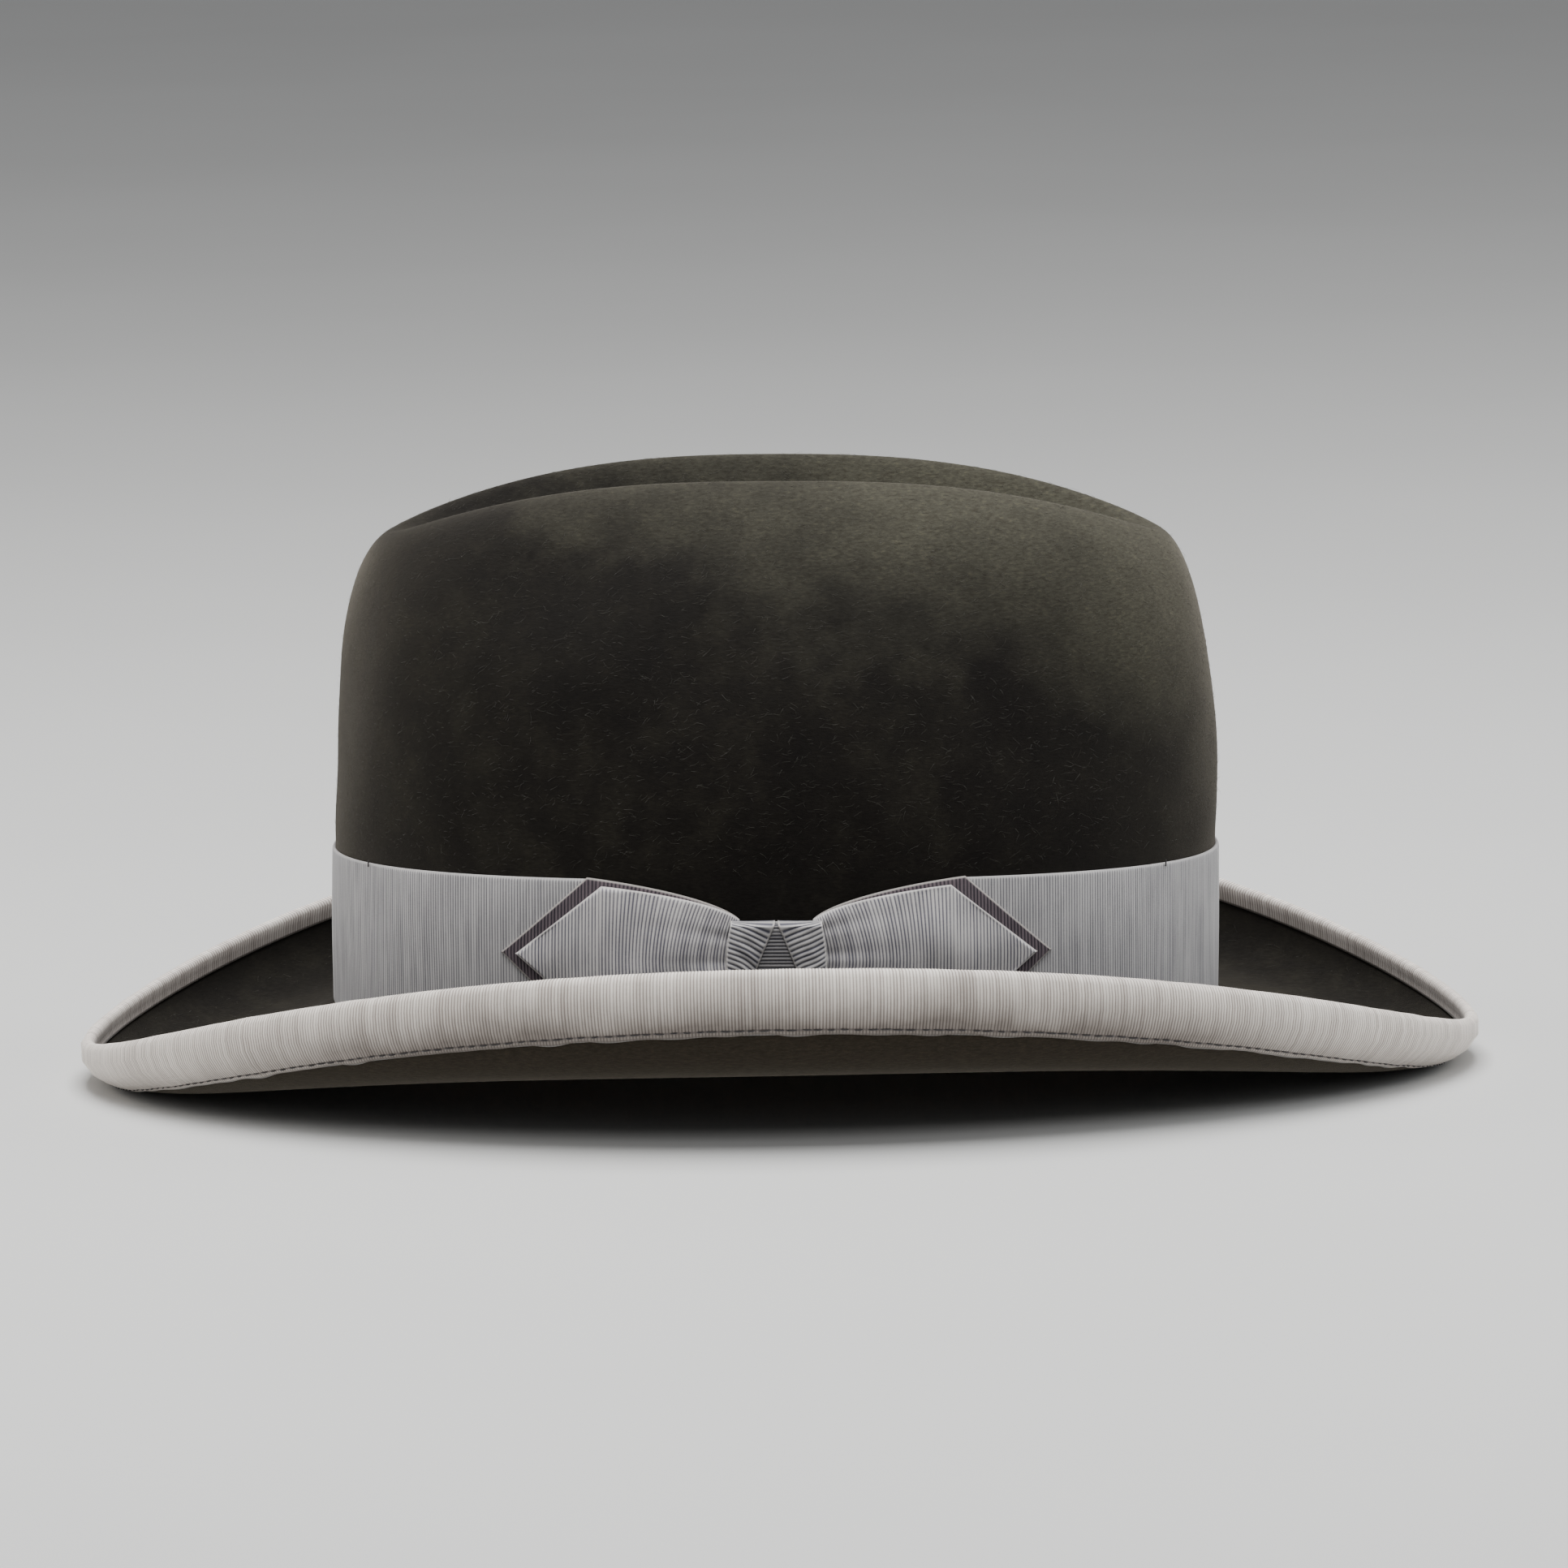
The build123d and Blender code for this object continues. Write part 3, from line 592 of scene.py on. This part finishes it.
def felt_body():
    """Crown and brim in one skin, from the crease, out round the brim, to the crown's inside."""
    phi, _ = even_angles(lambda a: Brim(a).cap(0.0, 0.0), FELT_COLUMNS)
    brim = Brim(phi)
    fold = 1 - np.linspace(0, 1, 26) ** 1.35
    crease_steps = np.concatenate([[0.985, 0.96], fold[1:-1] * 0.93])
    wall_steps = 1 - np.linspace(0, 1, 62) ** 1.6
    flats, curls = np.linspace(0.04, 1, 22), np.linspace(0.04, 1, 26)
    rows = crown_rows(phi, 0.0, crease_steps, wall_steps)
    rows += brim_rows(brim, FELT / 2, flats, curls)
    rows += [brim.cap(FELT / 2, pi - a) for a in np.radians((30, 60, 90, 120, 150))]
    rows += brim_rows(brim, -FELT / 2, flats, curls)[::-1]
    under = placed(wall_at(phi, 0.0, -FELT))
    rows += [under - (0, 0, FELT)]
    rows += crown_rows(phi, -FELT, crease_steps[::3], wall_steps[::4])[::-1]
    points = np.stack(rows)
    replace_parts(capped("felt_shell", points, FELT_LOOK), "felt_body")
    return points


FELT_ROWS = felt_body()


# ---- grosgrain ----
def rib_columns(curve):
    """Angles for a whole number of ribs round a closed curve, and each one's place in ribs."""
    per_rib = 4
    _, length = even_angles(curve, 8)
    count = round(length / RIB_PITCH) * per_rib
    phi, _ = even_angles(curve, count)
    return phi, np.arange(count) / per_rib


def rib_height(place):
    """Round ribs with sharp valleys, 0 to 1."""
    return np.abs(np.cos(pi * place)) ** 0.8


def bow_half_height(along, corner, half):
    """Half height of a bow ribbon at a distance from the knot's middle."""
    w = np.clip((along - BOW_INNER) / (corner - BOW_INNER), 0, 1)
    return BOW_PINCH + (half - BOW_PINCH) * (1.64 * w - 0.64 * w**2)


def hat_band():
    """Ribbon round the crown, drawn in behind the bow to the height of the knot."""
    mid = BAND_LIFT + BAND_WIDTH / 2
    phi, place = rib_columns(lambda a: wall_at(a, mid))
    along = np.where(np.sin(phi) > 0, np.abs(wall_at(phi, mid)[:, 1]), np.inf)
    corner = BOW_CORNER + BOW_PEEK[0] - 1.2
    drawn = bow_half_height(along, corner, BOW_HALF_HEIGHT + BOW_PEEK[1] - 0.6) - 0.3
    share = np.where(along < corner, drawn / (BAND_WIDTH / 2), 1.0)
    ribs = rib_height(place)
    wave = Waves(30.0)
    rows, uv = [], []
    across = np.array([0, 0.25, 0.6, 1.2, 5, 12, 19, 26, 33, 36.8, 37.4, 37.75, 38.0])
    for v in across:
        fade = ease(min(v, BAND_WIDTH - v) / 1.1)
        lip = 0.22 * (1 - ease(min(v, BAND_WIDTH - v) / 0.5))
        puff = 0.10 * wave(placed(wall_at(phi, BAND_LIFT + v)))
        weave = RIB_HEIGHT * (ribs * fade - 0.5 * fade)
        top = GAP + RIBBON + weave - lip + puff * fade * (share == 1)
        rows.append(placed(wall_at(phi, mid + (v - BAND_WIDTH / 2) * share, top)))
        uv.append(np.stack([place, np.full_like(place, v)], -1))
    for v in (BAND_WIDTH, BAND_WIDTH / 2, 0):
        at = mid + (v - BAND_WIDTH / 2) * share
        rows.append(placed(wall_at(phi, at, np.full_like(phi, GAP))))
        uv.append(np.stack([place, np.full_like(place, v)], -1))
    piece = hoop("crown_ribbon", rows, BAND_LOOK, np.stack(uv))
    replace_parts(piece, "hat_band")


def binding_total():
    """Width of the edge ribbon before it is folded over the edge."""
    cap = pi * (FELT / 2 + GAP + BINDING)
    return BINDING_OUTER[1] + BINDING_INNER[1] + cap


def brim_binding():
    """Ribbon folded over the brim's edge: outside, fold, inside, then back along the felt."""
    phi, place = rib_columns(edge_line)
    brim = Brim(phi)
    ribs = rib_height(place)
    near, far = FELT / 2 + GAP, FELT / 2 + GAP + BINDING
    outer, inner = mix(BINDING_OUTER, phi), mix(BINDING_INNER, phi)
    gather = Waves(9.0)(np.stack([brim.x0, brim.y0, brim.low], -1))
    rows, uv = [], []

    def add(points, v):
        rows.append(points)
        uv.append(np.stack([place, np.full_like(place, v)], -1))

    total = binding_total()
    for share, v in ((1.0, 0.0), (0.95, 0.7), (0.90, 1.35), (0.87, 1.8),
                     (0.70, 4.1), (0.46, 7.4), (0.22, 10.8), (0.04, 13.2)):
        fade = ease(v / 0.9)
        groove = 0.20 * np.exp(-(((v - EDGE_STITCH_INSET) / 0.28) ** 2))
        lift = RIB_HEIGHT * (ribs - 0.5) * fade - groove - 0.15 * (1 - ease(v / 0.4))
        lift += 0.06 * gather * fade
        pucker = 0.28 * gather * (1 - ease(v / 1.6))
        add(brim.place(brim.curl_section(brim.angle_at(outer * share + pucker)), -(far + lift)), v)
    for degrees in (34, 74, 114, 154):
        v = BINDING_OUTER[1] + (total - BINDING_OUTER[1] - BINDING_INNER[1]) * degrees / 180
        add(brim.cap(far + RIB_HEIGHT * (ribs - 0.5) + 0.04 * gather, radians(degrees)), v)
    for share, fade in ((0.3, 1.0), (0.8, 1.0), (1.0, 0.0)):
        v = total - BINDING_INNER[1] * (1 - share)
        lift = RIB_HEIGHT * (ribs - 0.5) * fade - 0.15 * (1 - fade)
        add(brim.place(brim.curl_section(brim.angle_at(inner * share)), far + lift), v)
    add(brim.place(brim.curl_section(brim.angle_at(inner)), near), total)
    add(brim.cap(near, pi / 2), total / 2)
    add(brim.place(brim.curl_section(brim.angle_at(outer * 0.5)), -near), total / 3)
    add(brim.place(brim.curl_section(brim.angle_at(outer)), -near), 0.0)
    piece = hoop("edge_ribbon", rows, BINDING_LOOK, np.stack(uv))
    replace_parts(piece, "brim_binding")
    edge = np.linalg.norm(np.diff(edge_line(np.linspace(0, 2 * pi, 721)), axis=0), axis=1)


def on_left_side(y, height, out):
    """Point on the crown's left side at a distance y along the hat, in the row frame."""
    phi = np.arccos(np.clip(-y / (CROWN_LENGTH + out), -1, 1))
    for _ in range(4):
        low = base_height(phi)
        rise = (height - low) / (ridge_height(phi) + out - low)
        inward = (1 - rise ** mix(WALL_RISE_POWER, phi)) ** (1 / mix(WALL_PLAN_POWER, phi))
        long = RIDGE_LENGTH + (CROWN_LENGTH + out - RIDGE_LENGTH) * inward
        phi = np.arccos(np.clip(-y / long, -1, 1))
    return placed(wall(phi, rise, out))


def bow_wing(name, side, front_layer):
    """One ribbon of the bow: ribs run up and down, drawn together where the knot holds them."""
    peek = (0.0, 0.0) if front_layer else BOW_PEEK
    corner, half = BOW_CORNER + peek[0], BOW_HALF_HEIGHT + peek[1]
    point, inner = BOW_POINT + peek[0], BOW_INNER
    pitch, per_rib = 0.80, 5
    along = np.linspace(inner, point, round((point - inner) / pitch) * per_rib + 1)
    place = np.arange(len(along)) / per_rib
    v = np.linspace(-1, 1, 57)
    v = np.sign(v) * (1 - (1 - np.abs(v)) ** 1.25)
    grid_v, grid_s = np.meshgrid(v, along, indexing="ij")
    end = np.clip((point - grid_s) / (point - corner), 0, 1)
    high = np.where(grid_s < corner, bow_half_height(grid_s, corner, half), half * end)
    near = np.clip((corner - grid_s) / (corner - inner), 0, 1)
    bulge = (2.0 + 2.6 * near) * np.abs(grid_v) ** 1.6 * np.sin(pi * (1 - near) ** 0.8 * 0.98)
    y = grid_s - bulge * (grid_s < point)
    y = np.maximum(y, inner + 0.02 * grid_s)
    height = BOW_MID + grid_v * np.maximum(high, 0.05)
    edge = (1 - np.abs(grid_v)) * high
    tip = np.minimum((point - grid_s), edge + 0.4)
    fade = ease(np.minimum(edge, tip) / 0.9)
    rib = rib_height(place + 0.5)
    folds = near**1.5 * (np.sin(grid_v * 13 + 2 * side) * 0.28 + np.sin(grid_v * 23 + side) * 0.12)
    low = 1.7 if front_layer else 0.9
    middle = ease((grid_s - inner) / 12) * (1 - ease((grid_s - corner + 6) / (point - corner + 4)))
    puff = (1.3 if front_layer else 0.15) * middle * (1 - np.abs(grid_v) ** 2.2)
    if front_layer:
        puff += 0.35 * (1 - ease((point - grid_s) / 5))
    out = low + puff + 0.6 * folds * front_layer
    back = on_left_side(side * y, height, out)
    loose = 0.22 * Waves(16.0)(back) * fade * front_layer
    lift = RIBBON - 0.15 * (1 - ease(edge / 0.5)) + 0.16 * (rib - 0.6) * fade + loose
    front = on_left_side(side * y, height, out + lift)
    uv = np.stack([np.broadcast_to(place + 0.5, edge.shape), edge], -1)
    # The under layer takes the painted-shade copy of the grosgrain.
    look = BOW_LOOK if front_layer else UNDER_LOOK
    piece = slab(name, front, back, look, uv, side < 0)
    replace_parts(piece, name.replace("ribbon_", "bow_"))


hat_band()
brim_binding()
for END, SIDE in (("front", -1), ("rear", 1)):
    bow_wing(f"ribbon_under_wing_{END}", SIDE, False)
    bow_wing(f"ribbon_wing_{END}", SIDE, True)


# ---- knot ----
def knot_panel():
    """The knot's middle: ribbon wrapped upright, so its ribs lie level."""
    half_z, depth = BOW_PINCH - 0.2, (KNOT_FRONT - KNOT_BACK) / 2
    pitch, per_rib, corner = 0.85, 6, 0.4
    fine = np.linspace(0, 2 * pi, 4001)
    loop = np.stack([np.abs(np.cos(fine)) ** corner * np.sign(np.cos(fine)) * depth,
                     np.abs(np.sin(fine)) ** corner * np.sign(np.sin(fine)) * half_z], -1)
    arc = np.concatenate([[0], np.cumsum(np.linalg.norm(np.diff(loop, axis=0), axis=1))])
    ring = round(arc[-1] / pitch) * per_rib
    turn = np.arange(ring) / ring * arc[-1]
    x0, z0 = (np.interp(turn, arc, loop[:, k]) for k in (0, 1))
    place = np.arange(ring) / per_rib
    rib = np.abs(np.cos(pi * (place + 0.5)))
    rows, uv = [], []
    for u in np.linspace(-1, 1, 21):
        x = (KNOT_BACK + KNOT_FRONT) / 2 + x0 * (1 + 0.13 * (rib - 0.5))
        x = x + 0.25 * (1 - u * u) * (x0 > 0)
        z = BOW_MID + z0 * (1 + 0.012 * (rib - 0.5))
        rows.append(placed(np.stack([x, np.full_like(x, u * PANEL_HALF_WIDTH), z], -1)))
        uv.append(np.stack([place + 0.5, np.full_like(place, 10 + 7 * u)], -1))
    uv = np.concatenate([np.concatenate(uv), [[0, 3], [0, 17]]])
    # The middle panel takes a darker copy of the grosgrain: painted shade where it lies back
    # between the pleats.
    piece = capped("knot_wrap", np.stack(rows), PANEL_LOOK, uv)
    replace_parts(piece, "bow_knot")


def knot_pleat(end, side):
    """A folded half of the knot: slanting ribs between two selvedges, rolled over at its ends."""
    half, sheet = BOW_PINCH + 0.2, 0.7
    ribs, per_rib = 20, 6
    roll, reach = 0.90, 1.16                    # where the roll starts and ends, as shares of half
    w = np.linspace(-reach, reach, ribs * per_rib + 1)
    place = np.arange(len(w)) / per_rib
    u = np.concatenate([[0, 0.03, 0.07], np.linspace(0.14, 0.86, 11), [0.93, 0.97, 1.0]])
    grid_w, grid_u = np.meshgrid(w, u, indexing="ij")
    slant = (grid_u - 0.5) * 0.40 + 0.03 * np.sin(grid_u * 5 + side) * (1 - np.abs(grid_w) / 1.2)
    climb = np.clip(grid_w + slant * (1 - ease((np.abs(grid_w) - 0.86) / 0.3)), -reach, reach)
    over = np.clip((np.abs(climb) - roll) / (reach - roll), 0, 1) * pi / 2
    rise = np.minimum(np.abs(climb), roll) * half / 0.98 + 0.085 * half * np.sin(over)
    z = np.sign(climb) * rise
    down = np.clip((half - z) / (2 * half), 0, 1)
    inner = 0.3 + 7.8 * down
    outer = 10.6 + 1.3 * np.sin(pi * np.clip(down * 0.9 + 0.05, 0, 1))
    y = inner + (outer - inner) * grid_u
    rib = rib_height(place[:, None] + 0.5)
    edge = np.minimum(grid_u, 1 - grid_u) * (outer - inner)
    fade = ease(edge / 0.7)
    swell = 1.25 * np.sqrt(np.clip(1 - (2 * grid_u - 1.0) ** 2 * 0.86, 0, 1))
    uneven = Waves(3.2)(np.stack([grid_w * 9, y, np.full_like(y, side * 20.0)], -1))
    x = KNOT_FRONT + 0.15 + swell + 0.26 * (rib - 0.6) * fade + 0.10 * uneven * fade
    x = x - (1 - np.cos(over)) * 4.6
    front = placed(np.stack([x, side * y, BOW_MID + z], -1))
    back = placed(np.stack([x - sheet, side * y, BOW_MID + z * (1 - sheet / half)], -1))
    uv = np.stack([np.broadcast_to(place[:, None] + 0.5, edge.shape), edge], -1)
    piece = slab(f"knot_pleat_{end}", front, back, KNOT_LOOK, uv, side < 0)
    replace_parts(piece, f"bow_knot_pleat_{end}")


knot_panel()
knot_pleat("front", -1)
knot_pleat("rear", 1)


# ---- stitches along the edge ribbon, and the felt's nap ----
def binding_stitches():
    """Hand stitches, uneven in length and lie, in the groove above the ribbon's lower edge."""
    middles, _ = even_angles(edge_line, STITCHES)
    step, samples = 2 * pi / STITCHES, np.linspace(-1, 1, 6)
    lines = []
    for phi in middles:
        span = step * rng.uniform(0.24, 0.40)
        at = phi + step * rng.uniform(-0.1, 0.1) + span * samples
        brim = Brim(at)
        inset = EDGE_STITCH_INSET + rng.uniform(-0.10, 0.10) + samples * rng.uniform(-0.12, 0.12)
        lift = FELT / 2 + GAP + BINDING - 0.06 + 0.20 * np.cos(samples * pi / 2)
        section = brim.curl_section(brim.angle_at(mix(BINDING_OUTER, at) - inset))
        lines.append(brim.place(section, -lift))
    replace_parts(threads("edge_stitches", lines, 0.17, DARK_THREAD), "binding_thread")


def nap():
    """Loose fur fibres, brushed round the hat, a few of them standing off the surface."""
    a, b = FELT_ROWS[:-1], FELT_ROWS[1:]
    side = np.roll(FELT_ROWS, -1, 1)[:-1]
    normal = np.cross(side - a, b - a)
    area = np.linalg.norm(normal, axis=2)
    normal = -normal / np.maximum(area, 1e-9)[..., None]
    high = a[..., 2]
    out = np.hypot(a[..., 0] / CROWN_WIDTH, (a[..., 1] + CROWN_FORWARD) / CROWN_LENGTH)
    area[(out < 1.02) & (high < BREAK_HEIGHT + BAND_WIDTH + 6)] = 0   # under the band
    area[-24:] = 0                                                    # inside the crown
    area[124:160] = 0                                                 # under the edge ribbon
    area *= np.where(out > 1.02, 0.35, 1.0)
    pick = rng.choice(area.size, FIBRES, p=(area / area.sum()).ravel())
    row, col = np.unravel_index(pick, area.shape)
    s, t = rng.random((2, FIBRES, 1))
    base = a[row, col] * (1 - s) * (1 - t) + side[row, col] * s * (1 - t) + b[row, col] * t
    up = normal[row, col]
    round_hat = side[row, col] - a[row, col]
    round_hat /= np.maximum(np.linalg.norm(round_hat, axis=1), 1e-9)[:, None]
    down = np.cross(up, round_hat)
    lie = rng.normal(0, 0.45, (FIBRES, 1)) + 0.15
    ahead = round_hat * np.cos(lie) + down * np.sin(lie)
    ahead *= rng.choice((-1, 1), (FIBRES, 1), p=(0.3, 0.7))
    long = rng.gamma(3.0, 0.45, (FIBRES, 1)) + 0.5
    stand = np.abs(rng.normal(0.03, 0.13, (FIBRES, 1)))
    bend = np.cross(up, ahead) * rng.normal(0, 0.25, (FIBRES, 1))
    middle = base + long * (0.5 * ahead + 0.15 * bend) + up * long * stand * 0.75
    tip = base + long * (0.95 * ahead + bend) + up * long * stand
    thick = rng.uniform(0.012, 0.028, (FIBRES, 1))
    across = np.cross(up, ahead)
    rings = []
    for centre, share in ((base + up * 0.02, 1.0), (middle, 0.8)):
        for turn in (0, 2 * pi / 3, 4 * pi / 3):
            rings.append(centre + thick * share * (cos(turn) * across + sin(turn) * up))
    corners = np.stack(rings + [tip], 1)
    corners[..., 2] = np.maximum(corners[..., 2], 0.1)      # none reaches into the floor
    pattern = np.array([(0, 2, 1, 1), (0, 1, 4, 3), (1, 2, 5, 4), (2, 0, 3, 5),
                        (3, 4, 6, 6), (4, 5, 6, 6), (5, 3, 6, 6)])
    faces = (np.arange(FIBRES)[:, None, None] * 7 + pattern).reshape(-1, 4).tolist()
    faces = [f[:3] if f[2] == f[3] else f for f in faces]
    make("nap_fibres", corners, faces, NAP_LOOK)


binding_stitches()
nap()


# ---- inside: leather sweatband and satin lining ----
def sweatband():
    """Leather strip with a rolled top edge that has taken on a few soft waves from wear."""
    phi, _ = even_angles(lambda a: wall_at(a, 20.0, SWEAT_IN), SWEAT_COLUMNS)
    wave, crumple = Waves(42.0), Waves(11.0)
    rows = []
    for height in np.linspace(0.6, SWEAT_HEIGHT - 0.5, 26):
        flat = placed(wall_at(phi, height, SWEAT_IN))
        loose = (0.38 * wave(flat) + 0.10 * crumple(flat)) * ease(height / SWEAT_HEIGHT - 0.1)
        seam = 0.35 * np.exp(-(((phi - pi) * REAR_RADIUS / 0.9) ** 2))
        groove = 0.16 * np.exp(-(((height - 40.5) / 0.5) ** 2))
        out = SWEAT_IN - 0.15 + np.clip(loose, -0.5, 0.9) - seam + groove
        rows.append(placed(wall_at(phi, height, out)))
    for turn in np.linspace(0, pi, 7):
        out = (SWEAT_IN + SWEAT_OUT) / 2 - 0.6 * cos(turn)
        rows.append(placed(wall_at(phi, SWEAT_HEIGHT - 0.5 + 0.6 * sin(turn), out)))
    for height in np.linspace(SWEAT_HEIGHT - 1.0, 0.6, 8):
        rows.append(placed(wall_at(phi, height, np.full_like(phi, SWEAT_OUT))))
    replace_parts(hoop("leather_band", rows, LEATHER_LOOK), "sweatband")


def rear_seam():
    """Zigzag stitches that join the sweatband's ends at the rear."""
    first, step, half_width = 6.5, 2.0, 1.7
    t = np.linspace(0, 1, 5)
    lines = []
    for k in range(18):
        side = 1 if k % 2 else -1
        phi = pi + side * half_width * (1 - 2 * t) / REAR_RADIUS
        bulge = 0.22 * np.sin(t * pi)
        lines.append(placed(wall_at(phi, first + step * (k + t), SWEAT_IN - 0.55 - bulge)))
    threads("rear_seam_stitches", lines, 0.16, PALE_THREAD)


def lining_wall(phi, height, depth):
    """Points on the lining's side: it follows the crown, then leaves it for the top seam."""
    free = max(0.0, height - LINING_TURN) / (TIP_HEIGHT - LINING_TURN)
    base = wall_at(phi, height, -(FELT + LINING_INSET + depth))
    seam = np.stack(np.broadcast_arrays((TIP_WIDTH - depth) * np.sin(phi),
                                        -(TIP_LENGTH - depth) * np.cos(phi), height), -1)
    return base + (seam - base) * free**1.4


def lining_side(drift, slack):
    """Satin side panel, eased into small pleats at its top seam, flat behind the ticket."""
    phi, _ = even_angles(lambda a: lining_wall(a, 60.0, 0.0), LINING_COLUMNS)
    rows = []
    for height in np.concatenate([[LINING_BOTTOM], np.linspace(20, 84, 22),
                                  np.linspace(86, TIP_HEIGHT, 8)]):
        outer, inner = lining_wall(phi, height, 0.0), lining_wall(phi, height, LINING)
        rise = ease((height - 30) / 60) ** 2
        pleats = np.abs(np.sin(phi * 36 + 1.3 * drift(inner))) ** 1.5
        depth = LINING + 0.15 + 1.25 * rise * pleats * (1 - 0.5 * ease((height - 88) / 5))
        depth = depth + np.abs(slack(inner)) * 0.35 * ease((height - 22) / 12)
        ticket = (inner[:, 1] > 60) & (np.abs(inner[:, 0] - 22) < 16) & (height < 62)
        depth = np.where(ticket, LINING, depth)
        rows.append(placed(outer + (inner - outer) * (depth / LINING)[:, None]))
    for height in np.linspace(TIP_HEIGHT, LINING_BOTTOM, 16):
        rows.append(placed(lining_wall(phi, height, 0.0)))
    piece = hoop("lining_side_panel", rows, LINING_LOOK)
    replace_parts(piece, "lining_side")


def lining_top(drift, slack):
    """Oval satin panel over the head, slack in its middle and puckered along its seam."""
    around = np.arange(TIP_COLUMNS) / TIP_COLUMNS * 2 * pi
    level = (1, 1, 0)
    skins = []
    for drop in (0.0, LINING):
        rings = []
        for share in np.concatenate([np.linspace(0.04, 0.9, 30), np.linspace(0.92, 1, 6)]):
            reach = share * (1 - 2.2 / TIP_LENGTH)
            x, y = TIP_WIDTH * reach * np.sin(around), -TIP_LENGTH * reach * np.cos(around)
            z = np.full_like(around, TIP_HEIGHT + TIP_RISE * (1 - share**2) - drop)
            ring = np.stack([x, y, z], -1)
            ring[:, 2] += 0.45 * slack(ring * level) * (1 - share**4)
            ring[:, 2] += 0.25 * np.sin(around * 40 + 2 * drift(ring * level)) * share**8
            rings.append(placed(ring))
        skins.append(np.stack(rings))
    upper, lower = skins
    piece = capped("lining_top_panel", np.concatenate([upper, lower[::-1]]),
                   LINING_LOOK, flip=True)
    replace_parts(piece, "lining_tip")


sweatband()
rear_seam()
DRIFT, SLACK = Waves(60.0), Waves(24.0)
lining_side(DRIFT, SLACK)
lining_top(DRIFT, SLACK)


# ---- small CAD pieces that keep their shape and get their material ----
def dress(node, material):
    for slot in bpy.data.objects[node].material_slots:
        slot.material = material


for NODE, LOOK in (("hat_band_tacks", DARK_THREAD), ("sweatband_thread", PALE_THREAD),
                   ("sweatband_reed", PALE_THREAD), ("reed_cover", BLACK_SATIN),
                   ("sweatband_bow_knot", BLACK_SATIN), ("sweatband_bow_loops", BLACK_SATIN),
                   ("lining_piping", PIPING_LOOK), ("size_ticket", PAPER_LOOK)):
    dress(NODE, LOOK)


# ---- camera, lights and floor ----
def camera():
    """A long-lens view of the hat's left side, a little above the brim."""
    distance, elevation, roll = 3.0, radians(8.0), radians(-1.06)
    ahead = Vector((-cos(elevation), 0, -sin(elevation)))
    level = Vector((0, 1, 0))
    right = level * cos(roll) + level.cross(ahead) * sin(roll)
    up = right.cross(ahead)
    target = Vector((0, 0, 0.0644))
    aim = target + right * 0.00207 + up * 0.00577
    data = bpy.data.cameras.new("camera")
    data.sensor_width, data.lens = 36.0, 283.6
    data.clip_start, data.clip_end = 0.1, 50
    eye = bpy.data.objects.new("camera", data)
    turn = Matrix((right, up, -ahead)).transposed().to_4x4()
    eye.matrix_world = Matrix.Translation(aim - ahead * distance) @ turn
    bpy.context.collection.objects.link(eye)
    bpy.context.scene.camera = eye


def softbox(name, place, size, power, colour=(1, 1, 1)):
    """A soft rectangular lamp that faces the middle of the hat."""
    data = bpy.data.lights.new(name, "AREA")
    data.shape, data.size, data.size_y = "RECTANGLE", size[0], size[1]
    data.energy, data.color = power, colour
    lamp = bpy.data.objects.new(name, data)
    lamp.location = place
    direction = Vector((0, 0, 0.07)) - Vector(place)
    lamp.rotation_euler = direction.to_track_quat("-Z", "Y").to_euler()
    bpy.context.collection.objects.link(lamp)


def floor():
    mesh = bpy.data.meshes.new("floor")
    half = 6.0
    mesh.from_pydata([(-half, -half, 0), (half, -half, 0), (half, half, 0), (-half, half, 0)],
                     [], [(0, 1, 2, 3)])
    look = Look("pale_floor", Specular_IOR_Level=0.2)
    grain = look.noise(look.place(), 3, 3)
    mesh.materials.append(look.done(look.ramp(grain, [(0.2, (0.60, 0.60, 0.59)),
                                                      (0.8, (0.64, 0.64, 0.63))]),
                                    look.span(grain, 0.2, 0.8, 0.85, 0.75)))
    ground = bpy.data.objects.new("floor", mesh)
    bpy.context.collection.objects.link(ground)


def studio_air():
    """Even, faintly cool light from all round."""
    world = bpy.data.worlds.new("studio")
    bpy.context.scene.world = world
    world.use_nodes = True
    background = world.node_tree.nodes["Background"]
    background.inputs["Color"].default_value = (0.80, 0.81, 0.83, 1)
    background.inputs["Strength"].default_value = 0.34


camera()
floor()
studio_air()
softbox("top", (0.1, 0, 1.5), (1.0, 1.6), 44)
softbox("front_side", (-0.10, -1.7, 0.75), (0.7, 1.2), 9, colour=(1.0, 0.97, 0.93))
softbox("rear_side", (-0.10, 1.7, 0.75), (0.7, 1.2), 10, colour=(0.95, 0.98, 1.0))
softbox("camera_side", (2.0, 0.3, 1.7), (1.2, 1.0), 14)
